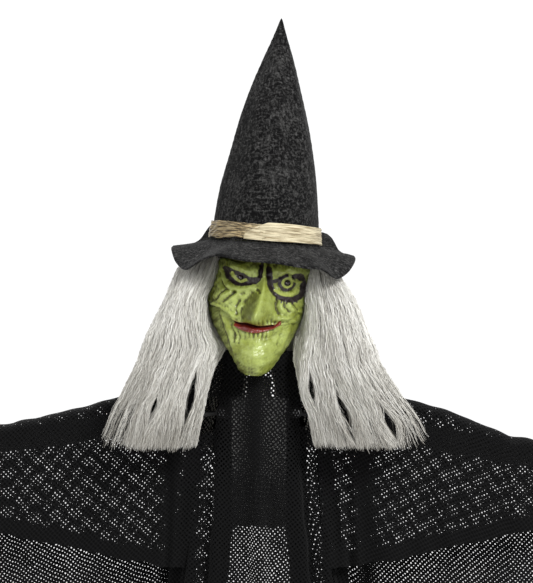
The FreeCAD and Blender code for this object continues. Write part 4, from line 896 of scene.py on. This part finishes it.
def back_lock(name, side, seed):
    """The hair behind one side of the head, parted by the hanging eye."""
    chance = np.random.default_rng(seed)
    sign = SIDES[side]
    t = np.linspace(0, 1, JOINTS)[None, :]
    a = chance.uniform(0, 1, STRANDS)[:, None]
    b = chance.uniform(0, 1, STRANDS)[:, None] ** 1.6
    clumps = 12
    index = np.clip((a * clumps + chance.normal(0, 0.3, a.shape)).astype(int), 0, clumps - 1)
    phase = chance.uniform(0, 2 * math.pi, clumps)[index]
    lift = chance.uniform(-1, 1, clumps)[index]
    z = BACK_ROOT - chance.uniform(0, 3, a.shape) + (BACK_TIP - BACK_ROOT + chance.normal(0, 2, a.shape)) * t
    own = chance.uniform(0, 2 * math.pi, a.shape)
    centred = a + ((index + 0.5) / clumps - a) * 0.3 * np.sin(math.pi * t)
    inner, outer = read(BACK_LOCK, z, 1), read(BACK_LOCK, z, 2)
    behind, beside = read(BACK_LOCK, z, 3), read(BACK_LOCK, z, 4)
    wave = 0.015 * np.sin(2 * math.pi * t * 2 + phase) + 0.012 * np.sin(2 * math.pi * t * 3.6 + own)
    x = inner + (outer - inner) * (centred + wave)
    y = behind + (beside - behind) * centred**1.9 - 7 * b * ramp(t, 0, 0.5) + 1.8 * lift * np.sin(math.pi * t)
    crimp = chance.normal(0, 0.6, x.shape)
    x, y = x + crimp, y + np.roll(crimp, 5, 1) * 0.7
    centre = np.stack([sign * x, y, z], -1)
    aside = widths(chance, centre, np.stack([sign * 0.5 * a, 1 + 0 * a, 0 * a], -1))
    half = chance.uniform(0.22, 0.48, a.shape) * (1 - 0.5 * ramp(t, 0.85, 1))
    tone = chance.normal(0.7, 0.15, a.shape) + 0.12 * lift + chance.normal(0, 0.1, x.shape)
    # painted shade: darker at the roots, under the brim, and on the strands nearer the head
    tone = tone - 0.35 * ramp(t, 1 / 7, 0) - 0.25 * b
    return ribbons(name, centre, aside * half[..., None], tone)


def bent_hair(piece, *nodes):
    """Gives a hair piece its material, hides the CAD pieces that it stands for and bakes its place into its
    mesh.
    """
    dress(piece, "hair_fibre", None, nodes)
    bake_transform(piece)


for side in SIDES:
    bent_hair(side_lock(f"hair_{side}_under", side, 100 + len(side), 0), "hair_" + side)
    bent_hair(side_lock(f"hair_{side}_middle", side, 150 + len(side), 1))
    bent_hair(side_lock(f"hair_{side}_over", side, 200 + len(side), 2))
    bent_hair(back_lock(f"hair_{side}_behind", side, 300 + len(side)), "hair_back_" + side)


# ---------------------------------------------------------------- robe

# height, then the robe's half width and half depth
ROBE = ((-640, 147, 68), (-500, 132, 64), (-350, 112, 58), (-190, 84, 50), (-75, 70, 44), (-30, 66, 43),
        (0, 56, 44), (38, 47, 41))
# share of the way from the front's middle to the back edge, and height of the collar's edge
COLLAR = ((0, 25), (0.1, 28), (0.14, 31), (0.18, 34), (0.22, 38), (0.27, 40), (0.38, 39), (0.6, 38), (1, 38))
# height and half of the opening behind
BACK_OPENING = ((-640, 66), (-350, 46), (-190, 33), (-126, 26.5), (-50, 25), (0, 17), (40, 15))
ROBE_HEM, SIDE_HEM_WIDTH = -638, 24
# by what share the holes are wider where a layer lies behind another, and in front of the chest
BEHIND, CHEST = 1.5, 0.8


def run(u, v, axis):
    """How far along the cloth each point is, by its steps in two directions."""
    first = [slice(None), slice(None)]
    first[axis] = slice(0, 1)
    steps = [np.diff(c, axis=axis, prepend=c[tuple(first)]) for c in (u, v)]
    return np.cumsum(np.hypot(*steps), axis)


def robe_body():
    """The robe's body, in folds from the collar down, open behind and hemmed all round."""
    rows, columns = 210, 320
    side = np.linspace(-1, 1, columns)[None, :]
    chest = hump(side, 0.19)
    top = read(COLLAR, np.abs(side)) + 0.8 * ripple(51, 0.3, side)
    down = np.linspace(0, 1, rows)[:, None]
    z = top + (ROBE_HEM + 3 * ripple(52, 0.35, side) - top) * down
    wide, deep = read(ROBE, z, 1), read(ROBE, z, 2)
    opening = read(BACK_OPENING, z)
    most = math.pi - np.arcsin(np.clip(opening / wide, 0, 1))
    angle = side * most
    loose = ramp(z, 10, -490) ** 0.8
    pleats = np.cos(13 * angle + 0.9 * ripple(53, 1.1, angle, z / 220))
    pleats = pleats + 0.6 * np.cos(21 * angle + 1.3 + z / 160)
    out = (0.6 + 8.5 * loose) * pleats + 1.6 * ripple(54, 60, 90 * angle, z)
    out = out - 15 * chest * ramp(z, -14, 16)
    x = (wide + out) * np.sin(angle)
    y = -NECK_BACK - (deep + out) * np.cos(angle)
    points = np.stack([x, y, z], -1)
    thing = mesh_object("robe", points, grid_faces(rows, columns))
    across = run(x, y, 1)
    across = across - across[:, columns // 2:columns // 2 + 1]
    lay_cloth(thing, across, z)
    edge_reach = np.minimum(across - across[:, :1], across[:, -1:] - across)
    hems = highest(edge(edge_reach, SIDE_HEM_WIDTH, 2), edge(z - z[-1:], 22, 2), edge(z[:1] - z, 9, 4))
    round_side = np.abs(np.degrees(angle))
    side_fold = hump(round_side - 88, 9) * edge(z, -40, 40)
    middle_fold = 0.9 * hump(x + 3, 7) * edge(np.abs(z + 30), 52, 20) * (y < -NECK_BACK)
    mark(thing, "dense", np.clip(highest(hems, middle_fold, 0.8 * side_fold), 0, 1))
    behind = ramp(round_side, 85, 95)
    chest_open = CHEST * edge(np.abs(x), 52, 10) * edge(np.abs(z + 25), 60, 20)
    mark(thing, "open", BEHIND * behind + chest_open * (1 - behind))
    armholes(thing)
    dress(thing, "robe_gauze", "chassis", ["robe_body"])


def armholes(thing):
    """Opens the robe where each arm passes through its side."""
    def in_armhole(middle):
        x, y, z = middle / MM
        return abs(x) > 40 and math.hypot((y + 38) / 24, (z + 24) / 32) < 1
    cut_out(thing, in_armhole)


SHOULDER = (37, -38, -22)
DROOP = {"left": 7.4, "right": 10.6}
PADDING = 12
SLEEVE_FROM, SLEEVE_END = 57, 390
# distance from the middle, then the height of the sleeve's top line, of its front hem and of its rear hem
SHOULDER_LINE = {
    "left": ((50, 21), (62, 18), (92, 9), (125, -2), (152, -10), (182, -18), (215, -26),
             (259, -37), (400, -90)),
    "right": ((50, 21), (62, 18), (92, 9), (125, -2), (152, -10), (182, -18), (215, -31),
              (240, -41), (400, -110)),
}
FRONT_HEM = ((60, -178), (104, -171), (139, -166), (190, -154), (225, -148), (259, -140), (330, -128),
             (392, -120))
REAR_HEM = ((60, -330), (150, -352), (260, -350), (392, -372))


def sleeve(side):
    """One sleeve: a sheet over the arm, its front edge hemmed and shorter than the rear one."""
    sign = SIDES[side]
    slope = math.tan(math.radians(DROOP[side]))
    columns = 260
    x = np.linspace(SLEEVE_FROM, SLEEVE_END, columns)[None, :]
    arm_top = SHOULDER[2] - slope * (x - SHOULDER[0]) + PADDING + 3
    top = np.maximum(read(SHOULDER_LINE[side], x), arm_top + 1.5) + 0.8 * ripple(61, 40, x)
    front_low = read(FRONT_HEM, x) + 1.5 * ripple(62, 50, x)
    rear_low = read(REAR_HEM, x) + 4 * ripple(63, 90, x)
    front, over, rear = 64, 22, 110
    half, rise = 17.0, 9.0
    down = np.linspace(1, 0, front, endpoint=False)[:, None]
    z_front = top - rise - (top - rise - front_low) * down
    bend = np.linspace(0, math.pi, over)[:, None]
    z_over = top - rise + rise * np.sin(bend)
    down_rear = np.linspace(0, 1, rear + 1)[1:, None]
    z_rear = top - rise - (top - rise - rear_low) * down_rear
    z = np.vstack([z_front, z_over, z_rear])
    y = np.vstack([-half + 0 * z_front, -half * np.cos(bend) + 0 * z_over, half + 0 * z_rear]) + SHOULDER[1]
    below = np.clip((top - z) / 150, 0, 1.6)
    near_body = 1 - ramp(x, SLEEVE_FROM, SLEEVE_END)
    pleats = ripple(64 + (side == "left"), 75, x, z * 0.22) + 0.5 * ripple(66, 30, x + 0.15 * z, z * 0.1)
    y = y + np.where(y < SHOULDER[1], -1, 1) * below * (3.5 + 6.5 * pleats)
    gather = hump(x - 84, 13)
    y = y + gather * 4.0 * np.sin(x / 2.6) * ramp(z, -30, -90)
    inner = x + ramp(z, -40, -240) * 10 * near_body
    points = np.stack([sign * inner, y, z], -1)
    thing = mesh_object(f"sleeve_cloth_{side}", points, grid_faces(front + over + rear, columns))
    along = run(y, z, 0)
    lay_cloth(thing, inner * sign, along - along[front + over // 2])
    hem = np.zeros_like(z)
    hem[:front] = edge(z_front - front_low, 15.5, 1.5)
    hem[front + over:] = edge(z_rear - rear_low, 20, 1.5)
    hem = np.maximum(hem, edge(SLEEVE_END - x, 16, 2))
    fold = 0.85 * hump(x - (84 if side == "left" else 102), 9) * edge(z, -50, 30)
    mark(thing, "dense", np.clip(np.maximum(hem, fold), 0, 1))
    opened = np.zeros_like(z)
    opened[front + over:] = BEHIND * edge(front_low - z_rear, 0, 12)
    mark(thing, "open", opened)
    dress(thing, "robe_gauze", None, ["sleeve_" + side])
    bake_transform(thing)


robe_body()
for side in SIDES:
    sleeve(side)


# ---------------------------------------------------------------- arms and hands

HAND_FROM, PADDING_FROM, BINDING = 345, 30, 52
# angle, distance of the root from the wrist and length of each finger, thumb last
FINGERS = ((26, 60, 62), (9, 68, 78), (-8, 68, 76), (-25, 62, 62), (68, 34, 52))
# start, finish and radius of the bones that fill the palm
PALM_BONES = (((36, 0, -8), (62, 0, -15), 8.5), ((36, 0, 8), (62, 0, 15), 8.5), ((34, 0, 0), (62, 0, 0), 9))


def arm_place(side):
    sign = SIDES[side]
    place = Matrix.Translation((sign * SHOULDER[0] * MM, SHOULDER[1] * MM, SHOULDER[2] * MM))
    place = place @ turn(sign * DROOP[side], "Y")
    return place @ turn(180, "Z") if sign < 0 else place


def ball(work, point, radius):
    bmesh.ops.create_icosphere(work, subdivisions=2, radius=radius * MM,
                               matrix=Matrix.Translation(Vector(point) * MM))


def tube(work, start, finish, radius_start, radius_finish):
    """Adds a closed round bone with ball ends to a bmesh."""
    root, tip = Vector(start) * MM, Vector(finish) * MM
    way = tip - root
    place = Matrix.Translation((root + tip) / 2) @ way.to_track_quat("Z", "Y").to_matrix().to_4x4()
    bmesh.ops.create_cone(work, cap_ends=True, segments=20, radius1=radius_start * MM,
                          radius2=radius_finish * MM, depth=way.length, matrix=place)
    ball(work, start, radius_start)
    ball(work, finish, radius_finish)


def finger_line(spec, front):
    """Root, knuckles and tip of one finger, curled towards the palm."""
    angle, start, length = spec
    reach = Vector((math.cos(math.radians(angle)), 0, math.sin(math.radians(angle))))
    foot = Vector((18 + (start - 18) * 0.62, 0, 0)) + reach * (start - 18) * 0.38
    curl = ((0, 0), (0.40, 3.5), (0.70, 9.0), (0.94, 17.0))
    return [foot + reach * length * share + Vector((0, front * bend, 0)) for share, bend in curl]


def hand(side):
    """A bony vinyl hand: bones, knuckles and tendons melted into one skin, and long dark nails."""
    front = -SIDES[side]
    work, nails = bmesh.new(), bmesh.new()
    tube(work, (-1, 0, 0), (22, 0, 0), 12.0, 9.6)
    tube(work, (20, 0, 0), (34, front * 1, 0), 10.0, 10.5)
    for number, spec in enumerate(FINGERS):
        line = finger_line(spec, front)
        tube(work, (24, 0, line[0].z * 0.35), line[0], 8.0, 6.6)
        tube(work, (28, -front * 4.5, line[0].z * 0.4), line[0] - Vector((0, front * 4.5, 0)), 2.4, 2.8)
        for i, (a, b) in enumerate(zip(line[:-1], line[1:])):
            tube(work, a, b, 6.4 - 1.1 * i, 5.0 - 0.9 * i)
            ball(work, a, 6.9 - 0.8 * i)
        if number == len(FINGERS) - 1:
            tube(work, (30, front * 3, 8), line[0], 9.0, 7.5)
        tip_way = (line[3] - line[2]).normalized()
        bend = line[3] + tip_way * 9 + Vector((0, front * 1.5, 0))
        tube(nails, line[3] - tip_way * 2, bend, 2.9, 1.7)
        tube(nails, bend, line[3] + tip_way * 17 + Vector((0, front * 4.5, 0)), 1.7, 0.5)
    for a, b, radius in PALM_BONES:
        tube(work, a, b, radius, radius - 1)
    place = arm_place(side) @ Matrix.Translation((HAND_FROM * MM, 0, 0))
    skin = melted(work, f"hand_skin_{side}", 1.5, 7)
    wrinkle(skin, place)
    dress(skin, "hand_vinyl", "arm_" + side, ["hand_" + side])
    claws = melted(nails, f"nails_{side}", 0.6, 3)
    claws.data.transform(place)
    dress(claws, "hand_vinyl", "arm_" + side)
    mark(claws, "ink", np.ones(len(claws.data.vertices)))


def melted(work, name, voxel, rounds):
    """Joins overlapping bones into one smooth closed skin."""
    mesh = bpy.data.meshes.new(name)
    work.to_mesh(mesh)
    work.free()
    thing = linked(name, mesh)
    union = thing.modifiers.new("union", "REMESH")
    union.mode, union.voxel_size = "VOXEL", voxel * MM
    soften = thing.modifiers.new("soften", "SMOOTH")
    soften.factor, soften.iterations = 0.5, rounds
    return applied(thing)


def wrinkle(skin, place):
    """Skin folds across the joints, with painted shade in their grooves and painted highlights on their
    ridges.
    """
    co = np.zeros(len(skin.data.vertices) * 3, np.float32)
    normal = np.zeros_like(co)
    skin.data.vertices.foreach_get("co", co)
    skin.data.vertices.foreach_get("normal", normal)
    co, normal = co.reshape(-1, 3), normal.reshape(-1, 3)
    x, y, z = co.T / MM
    reach = np.hypot(x - 18, z)
    rings = np.cos(2 * math.pi * reach / 3.1) * np.clip(ripple(71, 22, x, y, z), 0, 1)
    relief = 0.30 * rings + 0.35 * ripple(72, 9, x, y, z) + 0.12 * ripple(73, 3.5, x, y, z)
    co += normal * (relief * MM)[:, None].astype(np.float32)
    skin.data.vertices.foreach_set("co", co.ravel())
    skin.data.transform(place)
    # painted shade in the grooves and painted highlights on the ridges
    mark(skin, "crease", np.clip(-relief * 1.6 + 0.15, -1, 1))


def arm_padding(side):
    """Foam wrapped round the arm's wire and bound with tape at intervals."""
    rows, columns = 150, 56
    x = np.linspace(PADDING_FROM, HAND_FROM, rows)[:, None]
    angle = whole_turn(columns)
    bound = hump(((x - PADDING_FROM + BINDING / 2) % BINDING) - BINDING / 2, 5)
    radius = PADDING - 0.4 - 1.7 * bound + 0.45 * ripple(81, 14, x, 12 * np.cos(angle), 12 * np.sin(angle))
    closing = np.sqrt(ramp(np.minimum(x - PADDING_FROM, HAND_FROM - x), 0, 5))
    radius = 2.6 + (radius - 2.6) * closing
    points = np.stack(np.broadcast_arrays(x, radius * np.cos(angle), radius * np.sin(angle)), -1)
    thing = mesh_object(f"padding_{side}", points, grid_faces(rows, columns, True), arm_place(side))
    dress(thing, "arm_foam", "arm_" + side, ["arm_padding_" + side])


for side in SIDES:
    arm_padding(side)
    hand(side)


# ---------------------------------------------------------------- the other CAD pieces

# each CAD piece that is still visible takes the material whose name its packed one's name starts with
for name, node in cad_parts.items():
    if not node.hide_render:
        slots = [m.name for m in node.data.materials if m]
        wanted = next((s for s in MATERIALS if slots and slots[0].startswith(s)), "case_plastic")
        wanted = "dark_plastic" if name.startswith("shoulder_bracket") else wanted
        node.data.materials.clear()
        node.data.materials.append(MATERIALS[wanted])


# ---------------------------------------------------------------- floor, light and camera

# where the camera is, its sensor's height in millimetres, and what height it frames at what distance
VIEW_FROM = (0.0075, -2.538, 0.0985)
SENSOR, FRAMED, REACH = 36.0, 0.583, 2.5
FLOOR_REACH, FLOOR_DROP = 3000, 0.12
AMBIENT, BACKDROP = 0.50, 1.05
# place, aim, width and power of each lamp
LAMPS = {
    "key": ((1.1, -1.7, 1.3), (0, -0.03, 0.05), 0.9, 42),
    "fill": ((-1.5, -1.8, 0.5), (0, -0.03, 0.05), 1.4, 10),
    "top": ((0.2, 0.3, 1.9), (0, 0, 0.1), 1.0, 16),
    "back": ((-0.8, 2.2, 0.7), (0, 0, 0), 1.5, 16),
}


def lamp(name, place, aim, size, power):
    data = bpy.data.lights.new(name, "AREA")
    data.energy, data.size, data.shape = power, size, "DISK"
    light = linked(name, data)
    light.location = place
    light.rotation_euler = (Vector(aim) - Vector(place)).to_track_quat("-Z", "Y").to_euler()


def surroundings():
    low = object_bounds()[0][2]
    corners = [(FLOOR_REACH * x, FLOOR_REACH * y, 0) for x, y in ((-1, -1), (1, -1), (1, 1), (-1, 1))]
    floor = mesh_object("floor", corners, [(0, 1, 2, 3)], Matrix.Translation((0, 0, low - FLOOR_DROP)))
    floor.data.materials.append(grained("floor_paint", (0.78, 0.78, 0.78), (0.84, 0.84, 0.84), 0.9, 40, 0.2))
    world = bpy.data.worlds.new("studio")
    world.use_nodes = True
    nodes, links = world.node_tree.nodes, world.node_tree.links
    seen = nodes.new("ShaderNodeLightPath")
    strength = nodes.new("ShaderNodeMapRange")
    strength.inputs[3].default_value = AMBIENT
    strength.inputs[4].default_value = BACKDROP
    links.new(seen.outputs["Is Camera Ray"], strength.inputs[0])
    links.new(strength.outputs[0], nodes["Background"].inputs["Strength"])
    nodes["Background"].inputs["Color"].default_value = (1, 1, 1, 1)
    bpy.context.scene.world = world
    for name, spec in LAMPS.items():
        lamp(name, *spec)
    bpy.context.scene.view_settings.view_transform = "Standard"


def camera():
    data = bpy.data.cameras.new("camera")
    data.sensor_fit, data.sensor_height = "VERTICAL", SENSOR
    data.lens = SENSOR * REACH / FRAMED
    view = linked("camera", data)
    view.location = VIEW_FROM
    view.rotation_euler = (math.radians(90), 0, 0)
    bpy.context.scene.camera = view


surroundings()
camera()
